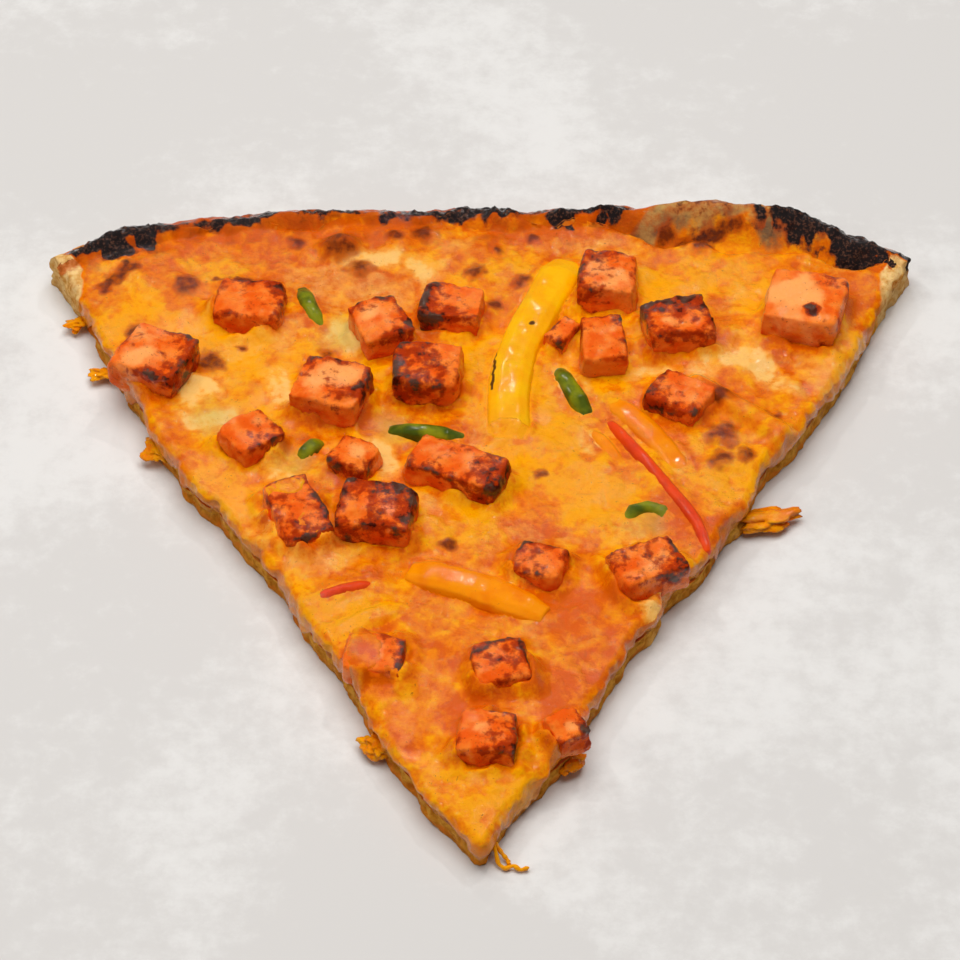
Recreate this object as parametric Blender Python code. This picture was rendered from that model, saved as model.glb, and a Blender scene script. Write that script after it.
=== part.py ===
"""One slice of a thin vegetable pizza: dough, sauce, melted cheese, cubes of spiced
fresh cheese and strips of sweet pepper.

Everything is modelled with the tip of the slice at x = y = 0, the crust towards +Y and
the flat underside at z = 0. All sizes below are millimetres. At the end the slice is
moved so that the middle of its box stands over the origin.
"""

import math

import bmesh
import bpy
import numpy as np
from mathutils import Vector
from mathutils.geometry import delaunay_2d_cdt

MM = 0.001

# A sixth of a pizza about 306 mm across.
HALF_ANGLE = math.radians(30)
SIDE = 153.0
BACK_MIDDLE = 145.5
BACK_SHARPNESS = 4.0

# The stack of layers, from the table up. GAP keeps neighbouring solids apart.
GAP = 0.3
DOUGH = 3.5
SAUCE = 0.8
CHEESE_TOP = 7.3
TIP_DROP = 1.3
TIP_REACH = 34.0
SAUCE_BOTTOM = DOUGH + GAP
SAUCE_TOP = SAUCE_BOTTOM + SAUCE
BED = SAUCE_TOP + GAP

# The raised rim along the back edge: distances inwards from the edge, and heights.
RIM_FOOT = 10.0
RIM_CREST = 4.2
RIM_HEIGHT = 8.4
RIM_OUTER = 4.4
CORNER_DROP = 0.9
SAUCE_BACK = 11.2
CHEESE_BACK = 5.6
CHEESE_RISE = 1.3
CHEESE_LIFT = 0.5

# The big blister in the rim: middle, half sizes and how far it swells.
BLISTER_X = 46.5
BLISTER_BACK = 6.0
BLISTER_HALF_X = 20.0
BLISTER_HALF_Y = 7.6
BLISTER_SWELL = 4.6

# Small blisters on the rim: place along X, half width, swell.
RIM_BLISTERS = ((-62, 8, 1.3), (-26, 6, 1.0), (3.5, 4, 1.2), (14.5, 4, 1.0), (24, 5, 1.9), (69, 4, 0.6))

# How far each cut side wanders outwards, at distances from the tip along the side.
LEFT_WANDER = (
    (0, 0.2), (10, 2.0), (17, 1.9), (27, 2.4), (40, 0.3), (55, 1.0), (63, -0.4), (73, 0.8),
    (84, 1.3), (93, 2.9), (105, 2.4), (116, 1.1), (124, 0.8), (141, -1.2), (153, -0.4),
)
RIGHT_WANDER = (
    (0, 0.2), (12, 0.3), (18, 1.0), (24, 2.2), (33, 0.6), (43, 0.6), (49, -0.4), (54, 0.9),
    (60, -0.2), (68, 1.5), (76, 1.2), (84, 1.9), (93, 0.1), (103, 1.6), (121, 1.9), (134, 0.1), (153, -0.6),
)

# The cheese stands a little proud of the cut dough.
CHEESE_OVERHANG = 0.45
SAUCE_INSET = 0.5

# Scraps of cheese and dough that stick out low at the cut sides: middle, half sizes, turn.
SCRAPS = (
    ((48.2, 72.6, 2.0), (5.4, 2.3, 1.7), 12),
    ((-54.2, 88.5, 2.2), (3.2, 2.4, 1.8), -40),
    ((-69.6, 120.4, 1.7), (2.6, 1.7, 1.4), 20),
    ((-64.2, 107.8, 1.8), (3.0, 1.8, 1.5), 10),
    ((-16.4, 23.6, 2.2), (2.6, 3.0, 1.9), 25),
    ((13.4, 19.4, 2.0), (2.4, 2.6, 1.8), -30),
)

# A pepper strip buried in the cheese shows as a ridge: two ends, half width, height.
BURIED = ((37.0, 99.0), (52.0, 86.0), 3.0, 1.5)

# Cubes: x, y, width, depth, height, turn and tilt in degrees.
CUBES = (
    (-55.0, 103.0, 13.2, 12.0, 7.2, -26, 3),
    (-39.8, 117.4, 12.6, 10.6, 5.6, -8, -3),
    (-17.2, 111.4, 9.4, 10.8, 7.0, 24, 4),
    (-4.8, 115.6, 11.6, 9.0, 6.6, -10, -3),
    (-8.9, 99.6, 12.2, 10.8, 7.6, -8, 3),
    (-25.0, 95.2, 13.0, 11.4, 7.8, -16, 4),
    (-38.2, 84.6, 9.4, 8.8, 6.6, 38, 3),
    (-21.0, 79.4, 7.6, 7.8, 6.2, -30, -3),
    (-30.0, 67.8, 9.0, 14.6, 5.4, 24, 3),
    (-16.8, 66.6, 13.6, 10.8, 7.4, -12, 4),
    (-3.6, 77.0, 17.0, 8.8, 6.8, -22, 3),
    (22.2, 122.1, 10.4, 11.2, 7.4, -9, -3),
    (20.9, 106.8, 8.4, 11.2, 7.0, 4, 4),
    (33.9, 111.0, 12.0, 10.6, 7.4, 12, -3),
    (33.8, 94.9, 10.8, 9.0, 5.6, -30, 3),
    (55.8, 115.4, 14.2, 13.4, 8.3, -14, 3),
    (27.3, 55.0, 12.4, 9.4, 6.0, 24, -3),
    (9.8, 56.0, 9.0, 7.6, 5.6, -18, 3),
    (-16.8, 36.6, 10.4, 8.6, 4.6, -10, 2),
    (3.2, 34.2, 9.4, 9.6, 5.6, 10, 3),
    (1.2, 19.4, 9.8, 9.4, 5.4, -6, -2),
    (13.6, 20.8, 6.4, 6.6, 5.4, 28, 3),
    (14.2, 110.0, 4.2, 7.2, 5.8, -34, 0),
)
CUBE_CUTS = 2
CUBE_SQUARENESS = 7.0
CUBE_WEAR = 0.35

# Strips of pepper: name, points along the middle, width, height, colour.
STRIPS = (
    (
        "yellow_pepper", ((15.2, 130.2), (10.6, 118.4), (6.5, 107.0), (4.8, 96.5), (5.0, 85.6)),
        7.6, 4.4, "yellow",
    ),
    ("orange_pepper_1", ((-11.6, 56.1), (-0.5, 51.6), (10.6, 46.2)), 6.4, 4.4, "orange"),
    ("orange_pepper_2", ((21.8, 96.6), (28.6, 87.6), (34.6, 77.6)), 4.8, 3.4, "orange"),
    ("orange_pepper_3", ((18.7, 89.0), (21.2, 84.4), (23.8, 79.2)), 2.8, 3.2, "orange"),
    ("orange_pepper_4", ((-24.2, 41.4), (-17.8, 45.4), (-11.2, 48.6)), 4.6, 3.2, "orange"),
    (
        "red_pepper_1", ((21.8, 90.6), (26.9, 81.8), (31.6, 73.8), (35.7, 66.6), (37.0, 60.4)),
        2.4, 3.8, "red",
    ),
    ("red_pepper_2", ((-16.4, 53.6), (-22.0, 51.9), (-27.6, 49.2)), 2.4, 3.4, "red"),
    ("green_pepper_1", ((-31.0, 123.6), (-29.6, 118.6), (-27.0, 113.4)), 3.2, 3.8, "green"),
    ("green_pepper_2", ((13.2, 103.6), (15.0, 98.6), (18.2, 92.4)), 3.4, 4.0, "green"),
    ("green_pepper_3", ((-15.4, 88.9), (-9.0, 87.6), (-2.6, 86.9)), 3.4, 3.8, "green"),
    ("green_pepper_4", ((-30.2, 81.8), (-28.2, 84.0), (-26.6, 86.0)), 3.0, 3.8, "green"),
    (
        "green_pepper_5", ((23.9, 67.4), (25.1, 69.6), (27.6, 70.4), (30.1, 69.6), (31.3, 67.4)),
        2.6, 3.4, "green",
    ),
)
STRIP_SIDES = 10
STRIP_STEP = 3.4
STRIP_SAG = 0.9

EDGE_STEP = 3.0
CHEESE_GRID = 3.3
CRUST_GRID = 4.5
RIM_ROWS = (1.1, 2.4, 4.2, 6.2, 8.2, 10.2, 12.0, 13.8)
CUT_REACH = 30.0

COLOURS = {
    "dough": ((0.74, 0.47, 0.20), 0.75),
    "sauce": ((0.55, 0.14, 0.02), 0.45),
    "cheese": ((0.86, 0.40, 0.05), 0.35),
    "paneer": ((0.80, 0.20, 0.06), 0.50),
    "yellow": ((0.90, 0.55, 0.01), 0.25),
    "orange": ((0.90, 0.30, 0.01), 0.25),
    "red": ((0.75, 0.05, 0.01), 0.25),
    "green": ((0.10, 0.16, 0.01), 0.30),
}


def smooth(low, high, value):
    """0 below low, 1 above high, with a soft step between. low may be above high."""
    t = np.clip((value - low) / (high - low), 0, 1)
    return t * t * (3 - 2 * t)


def ripple(x, y, wavelength, seed):
    """Soft uneven waves of about this length, between roughly -1 and 1."""
    rng = np.random.default_rng(seed)
    total = 0.0
    for turn, phase, stretch in rng.random((6, 3)):
        reach = wavelength * (0.7 + 0.8 * stretch)
        along = x * math.cos(math.tau * turn) + y * math.sin(math.tau * turn)
        total = total + np.sin(math.tau * (along / reach + phase))
    return total / 3.2


def material(name):
    colour, roughness = COLOURS[name]
    made = bpy.data.materials.get(name) or bpy.data.materials.new(name)
    made.use_nodes = True
    shader = made.node_tree.nodes["Principled BSDF"]
    shader.inputs["Base Color"].default_value = (*colour, 1)
    shader.inputs["Roughness"].default_value = roughness
    shader.inputs["Metallic"].default_value = 0
    return made


def add_object(name, mesh, look, slice_origin):
    obj = bpy.data.objects.new(name, mesh)
    bpy.context.scene.collection.objects.link(obj)
    obj.parent = slice_origin
    if look:
        mesh.materials.append(material(look))
        mesh.shade_smooth()
        mesh.set_sharp_from_angle(angle=math.radians(40))
    return obj


def mesh_from(name, points, faces):
    """A mesh from points in millimetres, with its faces pointing out."""
    mesh = bpy.data.meshes.new(name)
    mesh.from_pydata([tuple(MM * c for c in point) for point in points], [], faces)
    work = bmesh.new()
    work.from_mesh(mesh)
    bmesh.ops.recalc_face_normals(work, faces=work.faces)
    work.to_mesh(mesh)
    work.free()
    return mesh


# The plan of the slice


def back_edge(x):
    """Y of the outer edge of the crust: flatter than a true circle."""
    corner_x = SIDE * math.sin(HALF_ANGLE)
    corner_y = SIDE * math.cos(HALF_ANGLE)
    bow = np.abs(x / corner_x) ** BACK_SHARPNESS
    return BACK_MIDDLE - (BACK_MIDDLE - corner_y) * bow + 0.45 * ripple(x, 0 * x, 17, 5) * (1 - bow)


def side_points(side, wander, outward, reach):
    """Points up one cut side, from the tip to the crust."""
    along = np.arange(1.5, reach, EDGE_STEP)
    offset = np.interp(along, *zip(*wander)) + 0.25 * ripple(along, 0 * along, 9, 11 + side) + outward
    direction = np.array([side * math.sin(HALF_ANGLE), math.cos(HALF_ANGLE)])
    normal = np.array([side * math.cos(HALF_ANGLE), -math.sin(HALF_ANGLE)])
    return along[:, None] * direction + offset[:, None] * normal


def short_of_back(points, back_inset):
    """The points that lie clear of the back edge of an inset layer."""
    limit = back_edge(points[:, 0]) - back_inset(points[:, 0]) - 1
    return points[points[:, 1] < limit]


def outline(outward=0.0, back_inset=None):
    """The plan, counter-clockwise from the tip. back_inset(x) holds a layer off the crust's edge."""
    right = side_points(1, RIGHT_WANDER, outward, SIDE - 0.5)
    left = side_points(-1, LEFT_WANDER, outward, SIDE - 0.5)
    if back_inset is not None:
        right, left = short_of_back(right, back_inset), short_of_back(left, back_inset)
    x = np.arange(right[-1, 0] - 1.6, left[-1, 0] + 1.6, -EDGE_STEP)
    inset = 0 * x if back_inset is None else back_inset(x)
    back = np.stack([x, back_edge(x) - inset], axis=1)
    tip = np.array([[0.0, 0.3 - 2 * outward]])
    return np.concatenate([tip, right, back, left[::-1]])


def from_outline(points, corners):
    """Distance of each point from the outline, positive inside."""
    ends = np.roll(corners, -1, axis=0)
    span = ends - corners
    reach = points[:, None, :] - corners[None]
    t = np.clip((reach * span).sum(2) / (span * span).sum(1), 0, 1)
    away = np.linalg.norm(reach - t[..., None] * span, axis=2).min(axis=1)
    crosses = (corners[:, 1] > points[:, 1:2]) != (ends[:, 1] > points[:, 1:2])
    with np.errstate(divide="ignore", invalid="ignore"):
        at = corners[:, 0] + (points[:, 1:2] - corners[:, 1]) * span[:, 0] / span[:, 1]
    inside = (crosses & (points[:, 0:1] < at)).sum(axis=1) % 2 == 1
    return np.where(inside, away, -away)


# Heights of the layers


def blister(x, y):
    """0 to 1 over the big blister at the back right."""
    across = (x - BLISTER_X) / BLISTER_HALF_X
    deep = (y - back_edge(x) + BLISTER_BACK) / BLISTER_HALF_Y
    reach = np.clip(1 - across**2 - deep**2, 0, 1)
    return reach**0.6


def crust_top(x, y):
    inwards = back_edge(x) - y
    crest = RIM_HEIGHT - CORNER_DROP * smooth(62, 76, np.abs(x)) + 0.35 * ripple(x, y, 14, 3)
    for middle, half, swell in RIM_BLISTERS:
        crest = crest + swell * np.exp(-(((x - middle) / half) ** 2))
    inner = DOUGH + (crest - DOUGH) * smooth(RIM_FOOT, RIM_CREST, inwards)
    outer = RIM_OUTER + (crest - RIM_OUTER) * np.sqrt(np.clip(inwards / RIM_CREST, 0, 1))
    return np.where(inwards > RIM_CREST, inner, outer) + BLISTER_SWELL * blister(x, y)


def cheese_bottom(x, y):
    """Flat over the sauce, then up the inner slope of the rim."""
    foot = sauce_back(x)
    climbing = smooth(foot + 3, foot, back_edge(x) - y)
    return np.maximum(BED, crust_top(x, y) + GAP + CHEESE_LIFT * climbing)


def ridge(x, y):
    start, end, half, height = BURIED
    span = np.subtract(end, start)
    t = np.clip(((x - start[0]) * span[0] + (y - start[1]) * span[1]) / span.dot(span), 0, 1)
    away = np.hypot(x - start[0] - t * span[0], y - start[1] - t * span[1])
    return height * smooth(half, half * 0.2, away)


def cheese_top(x, y, corners):
    edge = from_outline(np.stack([x, y], axis=1), corners)
    waves = 0.4 * ripple(x, y, 24, 21) + 0.25 * ripple(x, y, 10, 22)
    thinner = TIP_DROP * smooth(TIP_REACH, 0, y)
    level = CHEESE_TOP - thinner + waves + ridge(x, y) - 0.8 * smooth(1.4, 0, edge)
    return np.maximum(level, cheese_bottom(x, y) + CHEESE_RISE - 0.6 * smooth(2, 0, edge))


# The three layers


def layer(name, corners, bottom, top, grid, rows=()):
    """A closed sheet over the plan, triangulated evenly, with its cut sides as walls."""
    low, high = corners.min(axis=0), corners.max(axis=0)
    columns = np.arange(low[0], high[0], grid)
    points = []
    for i, y in enumerate(np.arange(low[1], high[1], grid * 0.87)):
        points += [(x + (i % 2) * grid / 2, y) for x in columns]
    for inwards in rows:
        x = np.arange(low[0], high[0], EDGE_STEP)
        points += zip(x, back_edge(x) - inwards)
    points = np.array(points)
    back_clear = np.min([np.abs(back_edge(points[:, 0]) - points[:, 1] - r) for r in rows or (99,)], axis=0)
    on_row = back_clear < 1e-6
    free_of_rows = (back_clear > grid * 0.4) & (back_edge(points[:, 0]) - points[:, 1] > max(rows or (0,)))
    depth = from_outline(points, corners)
    kept = points[(depth > 1.0) & (on_row | (free_of_rows & (depth > grid * 0.55)))]
    inset = corners + 1.2 * inward_normals(corners)
    inset = inset[from_outline(inset, corners) > 1.0]
    if len(kept):
        near = np.linalg.norm(kept[:, None] - inset[None], axis=2).min(axis=1)
        kept = kept[near > 0.9]
    plan = np.concatenate([corners, inset, kept])
    count = len(corners)
    edges = [(i, (i + 1) % count) for i in range(count)]
    found = delaunay_2d_cdt([Vector(p) for p in plan], edges, [], 1, 1e-7)
    flat = np.array([tuple(v) for v in found[0]])
    over = np.column_stack([flat, top(flat[:, 0], flat[:, 1])])
    under = np.column_stack([flat, bottom(flat[:, 0], flat[:, 1])])
    total = len(flat)
    faces = [tuple(f) for f in found[2]]
    faces += [tuple(total + i for i in reversed(f)) for f in found[2]]
    uses = {}
    for face in found[2]:
        for a, b in zip(face, face[1:] + face[:1]):
            uses[frozenset((a, b))] = (a, b) if frozenset((a, b)) not in uses else None
    faces += [(pair[1], pair[0], total + pair[0], total + pair[1]) for pair in uses.values() if pair]
    return mesh_from(name, np.concatenate([over, under]), faces)


def inward_normals(corners):
    span = np.roll(corners, -1, axis=0) - np.roll(corners, 1, axis=0)
    normal = np.stack([-span[:, 1], span[:, 0]], axis=1)
    return normal / np.linalg.norm(normal, axis=1, keepdims=True)


def beside_blister(x):
    """1 in front of the big blister, 0 away from it."""
    return smooth(BLISTER_HALF_X + 6, BLISTER_HALF_X - 1, np.abs(x - BLISTER_X))


def sauce_back(x):
    return SAUCE_BACK + 3.2 * beside_blister(x)


def cheese_back(x):
    """The cheese stops short of the crust's edge, and further in at the blister."""
    return CHEESE_BACK + 5.2 * beside_blister(x) + 0.9 * ripple(x, 0 * x, 12, 8)


def add_crust(slice_origin):
    corners = outline()
    mesh = layer("crust", corners, lambda x, y: 0 * x, crust_top, CRUST_GRID, RIM_ROWS)
    crust = add_object("crust", mesh, "dough", slice_origin)
    scraps = bpy.data.collections.new("scraps")
    bpy.context.scene.collection.children.link(scraps)
    for place, halves, turn in SCRAPS:
        add_scrap(scraps, place, halves, turn, slice_origin)
    apply_boolean(crust, "UNION", scraps)
    for scrap in list(scraps.objects):
        bpy.data.objects.remove(scrap)
    bpy.data.collections.remove(scraps)


def add_scrap(collection, place, halves, turn, slice_origin):
    """An uneven lump that overlaps the dough's wall and stays between its faces."""
    mesh = bpy.data.meshes.new("scrap")
    work = bmesh.new()
    bmesh.ops.create_icosphere(work, subdivisions=2, radius=1.0)
    for vert in work.verts:
        uneven = 1 + 0.26 * float(ripple(vert.co.x + place[0], vert.co.y + vert.co.z, 1.7, 31))
        x, y, z = (half * uneven * c for half, c in zip(halves, vert.co))
        z = min(max(z, -place[2]), DOUGH - place[2])
        vert.co = Vector((MM * x, MM * y, MM * z))
    work.to_mesh(mesh)
    work.free()
    lump = bpy.data.objects.new("scrap", mesh)
    collection.objects.link(lump)
    lump.parent = slice_origin
    lump.location = [MM * c for c in place]
    lump.rotation_euler.z = math.radians(turn)


def add_sauce(slice_origin):
    corners = outline(-SAUCE_INSET, sauce_back)
    mesh = layer(
        "sauce", corners, lambda x, y: SAUCE_BOTTOM + 0 * x, lambda x, y: SAUCE_TOP + 0 * x, CRUST_GRID
    )
    add_object("sauce", mesh, "sauce", slice_origin)


def add_cheese(slice_origin, cutters):
    corners = outline(CHEESE_OVERHANG, cheese_back)
    mesh = layer("cheese", corners, cheese_bottom, lambda x, y: cheese_top(x, y, corners), CHEESE_GRID)
    cheese = add_object("cheese", mesh, "cheese", slice_origin)
    apply_boolean(cheese, "DIFFERENCE", cutters)
    keep_largest_piece(cheese.data)


# Toppings


def cube_mesh(name, width, depth, height, seed):
    """A hand-cut cube with worn edges and corners, its underside at z = 0."""
    mesh = bpy.data.meshes.new(name)
    work = bmesh.new()
    bmesh.ops.create_cube(work, size=2.0)
    bmesh.ops.subdivide_edges(work, edges=work.edges, cuts=CUBE_CUTS, use_grid_fill=True)
    for vert in work.verts:
        spread = sum(abs(c) ** CUBE_SQUARENESS for c in vert.co) ** (-1 / CUBE_SQUARENESS)
        point = vert.co * spread
        wear = CUBE_WEAR * float(ripple(5 * point.x + seed, 5 * point.y + 3 * point.z, 7, 40 + seed))
        halves = (width / 2 - 0.3 + wear, depth / 2 - 0.3 + wear)
        z = height * (point.z + 1) / 2 - (CUBE_WEAR + wear if point.z > 0 else 0)
        vert.co = Vector((MM * halves[0] * point.x, MM * halves[1] * point.y, MM * z))
    work.to_mesh(mesh)
    work.free()
    return mesh


def add_cubes(slice_origin, cutters):
    for number, (x, y, width, depth, height, turn, tilt) in enumerate(CUBES, 1):
        name = f"paneer_{number:02d}"
        cube = add_object(name, cube_mesh(name, width, depth, height, number), "paneer", slice_origin)
        lift = math.hypot(width, depth) / 2 * math.sin(math.radians(abs(tilt)))
        cube.location = (MM * x, MM * y, MM * (BED + lift))
        cube.rotation_euler = (math.radians(tilt), 0, math.radians(turn))
        half_x, half_y = width / 2 + GAP, depth / 2 + GAP
        lean = height * math.sin(math.radians(abs(tilt)))
        front, back = -half_y - lean, half_y + lean
        ring = [(-half_x, front), (half_x, front), (half_x, back), (-half_x, back)]
        cutter = add_cutter(f"hole_{name}", ring, slice_origin, cutters)
        cutter.location = (MM * x, MM * y, 0)
        cutter.rotation_euler.z = math.radians(turn)


def add_cutter(name, ring, slice_origin, cutters):
    """An upright prism that opens the cheese all the way through."""
    count = len(ring)
    points = [(x, y, -CUT_REACH) for x, y in ring] + [(x, y, CUT_REACH) for x, y in ring]
    faces = [tuple(range(count))[::-1], tuple(range(count, 2 * count))]
    faces += [(i, (i + 1) % count, count + (i + 1) % count, count + i) for i in range(count)]
    cutter = bpy.data.objects.new(name, mesh_from(name, points, faces))
    cutters.objects.link(cutter)
    cutter.parent = slice_origin
    cutter.hide_render = True
    cutter.display_type = "WIRE"
    return cutter


def curve_through(points, step):
    """Points at even steps on a smooth curve through the given ones, and their directions."""
    points = np.array(points, float)
    padded = np.concatenate([[2 * points[0] - points[1]], points, [2 * points[-1] - points[-2]]])
    dense = []
    for a, b, c, d in zip(padded, padded[1:], padded[2:], padded[3:]):
        bend = 2 * a - 5 * b + 4 * c - d
        twist = 3 * b - a - 3 * c + d
        for t in np.linspace(0, 1, 24, endpoint=False):
            dense.append(0.5 * (2 * b + (c - a) * t + bend * t**2 + twist * t**3))
    dense = np.array(dense + [points[-1]])
    length = np.concatenate([[0], np.cumsum(np.linalg.norm(np.diff(dense, axis=0), axis=1))])
    at = np.linspace(0, length[-1], max(5, int(length[-1] / step) + 1))
    middle = np.stack([np.interp(at, length, dense[:, k]) for k in (0, 1)], axis=1)
    heading = np.gradient(middle, axis=0)
    return middle, heading / np.linalg.norm(heading, axis=1, keepdims=True)


def strip_mesh(name, path, width, height, seed):
    """A strip cut from a pepper's wall: skin side up and crowned, ends blunt and a little narrower."""
    middle, heading = curve_through(path, STRIP_STEP)
    sideways = np.stack([-heading[:, 1], heading[:, 0]], axis=1)
    last = len(middle) - 1
    points, faces = [], []
    for i, (centre, across) in enumerate(zip(middle, sideways)):
        blunt = 0.72 if i in (0, last) else 1.0
        uneven = 1 + 0.07 * float(ripple(3 * i, seed, 11, 60 + seed))
        for k in range(STRIP_SIDES):
            turn = math.tau * k / STRIP_SIDES
            out = math.copysign(abs(math.cos(turn)) ** 0.7, math.cos(turn))
            up = math.copysign(abs(math.sin(turn)) ** 0.8, math.sin(turn))
            x, y = centre + across * out * blunt * uneven * width / 2 * (0.86 if up < 0 else 1)
            sag = STRIP_SAG * (2 * i / last - 1) ** 2
            z = max(0.0, height * 0.5 * (1 + up * blunt) - (sag if up > 0 else 0))
            points.append((x, y, BED + z))
    for i in range(last):
        row, above = i * STRIP_SIDES, (i + 1) * STRIP_SIDES
        for k in range(STRIP_SIDES):
            n = (k + 1) % STRIP_SIDES
            faces.append([row + k, row + n, above + n, above + k])
    faces.append(list(range(STRIP_SIDES)))
    faces.append(list(range(last * STRIP_SIDES, (last + 1) * STRIP_SIDES)))
    return mesh_from(name, points, faces)


def strip_ring(path, width):
    """The plan of a strip with the gap added all round, as one loop."""
    middle, heading = curve_through(path, STRIP_STEP)
    sideways = np.stack([-heading[:, 1], heading[:, 0]], axis=1)
    middle[0] -= heading[0] * GAP * 1.5
    middle[-1] += heading[-1] * GAP * 1.5
    reach = width / 2 * 1.07 + GAP
    right = [tuple(p) for p in middle - sideways * reach]
    left = [tuple(p) for p in middle + sideways * reach]
    return right + left[::-1]


def add_strips(slice_origin, cutters):
    for seed, (name, path, width, height, look) in enumerate(STRIPS):
        add_object(name, strip_mesh(name, path, width, height, seed), look, slice_origin)
        add_cutter(f"hole_{name}", strip_ring(path, width), slice_origin, cutters)


# Joining, cutting and placing


def apply_boolean(obj, operation, collection):
    modifier = obj.modifiers.new(operation.lower(), "BOOLEAN")
    modifier.operand_type = "COLLECTION"
    modifier.collection = collection
    modifier.operation = operation
    modifier.solver = "EXACT"
    bpy.context.view_layer.update()
    evaluated = obj.evaluated_get(bpy.context.evaluated_depsgraph_get())
    result = bpy.data.meshes.new_from_object(evaluated)
    obj.modifiers.clear()
    obj.data = result


def keep_largest_piece(mesh):
    """Drops scraps that the holes have cut loose."""
    work = bmesh.new()
    work.from_mesh(mesh)
    work.verts.ensure_lookup_table()
    seen, pieces = set(), []
    for start in work.verts:
        if start in seen:
            continue
        piece, queue = {start}, [start]
        while queue:
            for edge in queue.pop().link_edges:
                for vert in edge.verts:
                    if vert not in piece:
                        piece.add(vert)
                        queue.append(vert)
        seen |= piece
        pieces.append(piece)
    largest = max(pieces, key=len)
    bmesh.ops.delete(work, geom=[v for v in work.verts if v not in largest], context="VERTS")
    work.to_mesh(mesh)
    work.free()


def centre_over_origin(slice_origin):
    """Moves the slice so that the middle of its box stands over the origin."""
    bpy.context.view_layer.update()
    low, high = [math.inf] * 2, [-math.inf] * 2
    for obj in bpy.context.scene.objects:
        if obj.type != "MESH" or obj.hide_render:
            continue
        for vert in obj.data.vertices:
            place = obj.matrix_world @ vert.co
            for k in range(2):
                low[k], high[k] = min(low[k], place[k]), max(high[k], place[k])
    slice_origin.location = (-(low[0] + high[0]) / 2, -(low[1] + high[1]) / 2, 0)


def main():
    for obj in list(bpy.data.objects):
        bpy.data.objects.remove(obj)
    slice_origin = bpy.data.objects.new("slice_origin", None)
    bpy.context.scene.collection.objects.link(slice_origin)
    cutters = bpy.data.collections.new("cutters")
    bpy.context.scene.collection.children.link(cutters)
    add_crust(slice_origin)
    add_sauce(slice_origin)
    add_cubes(slice_origin, cutters)
    add_strips(slice_origin, cutters)
    add_cheese(slice_origin, cutters)
    centre_over_origin(slice_origin)


main()
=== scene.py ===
"""The looks of one slice of vegetable pizza: melted cheese, charred crust, spiced cubes
of fresh cheese and strips of sweet pepper, on a plain pale floor.

Sizes are millimetres in the slice's own plan: the tip at x = y = 0, the crust towards
+Y, the underside at z = 0. They become metres in the frame when a mesh is made.
"""

import math

import bpy
import numpy as np
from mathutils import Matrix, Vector
from mathutils.bvhtree import BVHTree
from mathutils.geometry import delaunay_2d_cdt


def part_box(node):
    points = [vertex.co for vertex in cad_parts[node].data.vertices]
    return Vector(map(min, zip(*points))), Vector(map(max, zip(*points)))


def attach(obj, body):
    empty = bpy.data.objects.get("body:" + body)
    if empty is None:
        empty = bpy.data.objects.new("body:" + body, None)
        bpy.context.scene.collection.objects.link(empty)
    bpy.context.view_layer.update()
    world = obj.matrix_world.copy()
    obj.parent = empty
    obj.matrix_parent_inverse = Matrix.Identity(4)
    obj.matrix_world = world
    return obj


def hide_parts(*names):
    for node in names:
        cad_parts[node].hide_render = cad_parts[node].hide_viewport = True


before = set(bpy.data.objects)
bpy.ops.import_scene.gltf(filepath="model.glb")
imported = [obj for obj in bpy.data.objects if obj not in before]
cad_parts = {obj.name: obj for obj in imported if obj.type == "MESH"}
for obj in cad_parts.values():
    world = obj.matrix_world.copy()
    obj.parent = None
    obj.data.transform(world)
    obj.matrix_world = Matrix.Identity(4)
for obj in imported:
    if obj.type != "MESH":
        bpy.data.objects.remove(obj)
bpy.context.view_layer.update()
MM = 0.001

# The crust's lowest vertex in Y is the tip, which the plan puts at y = TIP_START.
TIP_START = 0.3
TIP = min((v.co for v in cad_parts["crust"].data.vertices), key=lambda co: co.y)
SHIFT = np.array([TIP.x, TIP.y - TIP_START * MM, 0.0])

# The plan of the slice, as the solids have it.
HALF_ANGLE = math.radians(30)
SIDE = 153.0
BACK_MIDDLE = 145.5
BACK_SHARPNESS = 4.0
LEFT_WANDER = (
    (0, 0.2), (10, 2.0), (17, 1.9), (27, 2.4), (40, 0.3), (55, 1.0), (63, -0.4), (73, 0.8),
    (84, 1.3), (93, 2.9), (105, 2.4), (116, 1.1), (124, 0.8), (141, -1.2), (153, -0.4),
)
RIGHT_WANDER = (
    (0, 0.2), (12, 0.3), (18, 1.0), (24, 2.2), (33, 0.6), (43, 0.6), (49, -0.4), (54, 0.9),
    (60, -0.2), (68, 1.5), (76, 1.2), (84, 1.9), (93, 0.1), (103, 1.6), (121, 1.9), (134, 0.1), (153, -0.6),
)
DOUGH = 3.5
SAUCE_LOW = 3.3
SAUCE_HIGH = 5.0
CHEESE_LOW = 4.7
CHEESE_TOP = 7.3
TIP_DROP = 1.3
TIP_REACH = 34.0
RIM_FOOT = 10.0
RIM_CREST = 4.2
RIM_HEIGHT = 8.4
RIM_OUTER = 4.4
CORNER_DROP = 0.9
CHEESE_BACK = 5.2
BLISTER_X = 46.5
BLISTER_BACK = 6.0
BLISTER_HALF_X = 20.0
BLISTER_HALF_Y = 7.6
BLISTER_SWELL = 4.2
RIM_BLISTERS = ((-62, 8, 1.3), (-26, 6, 0.6), (3.5, 4, 1.0), (14.5, 4, 0.8), (24, 5, 1.7), (69, 4, 0.4))
BURIED = ((37.0, 99.0), (52.0, 86.0), 3.0, 1.5)

EDGE_STEP = 0.5
CHEESE_GRID = 0.42
RIM_GRID = 0.45
HIDDEN_GRID = 3.0
RIM_DETAIL = 17.0

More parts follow.
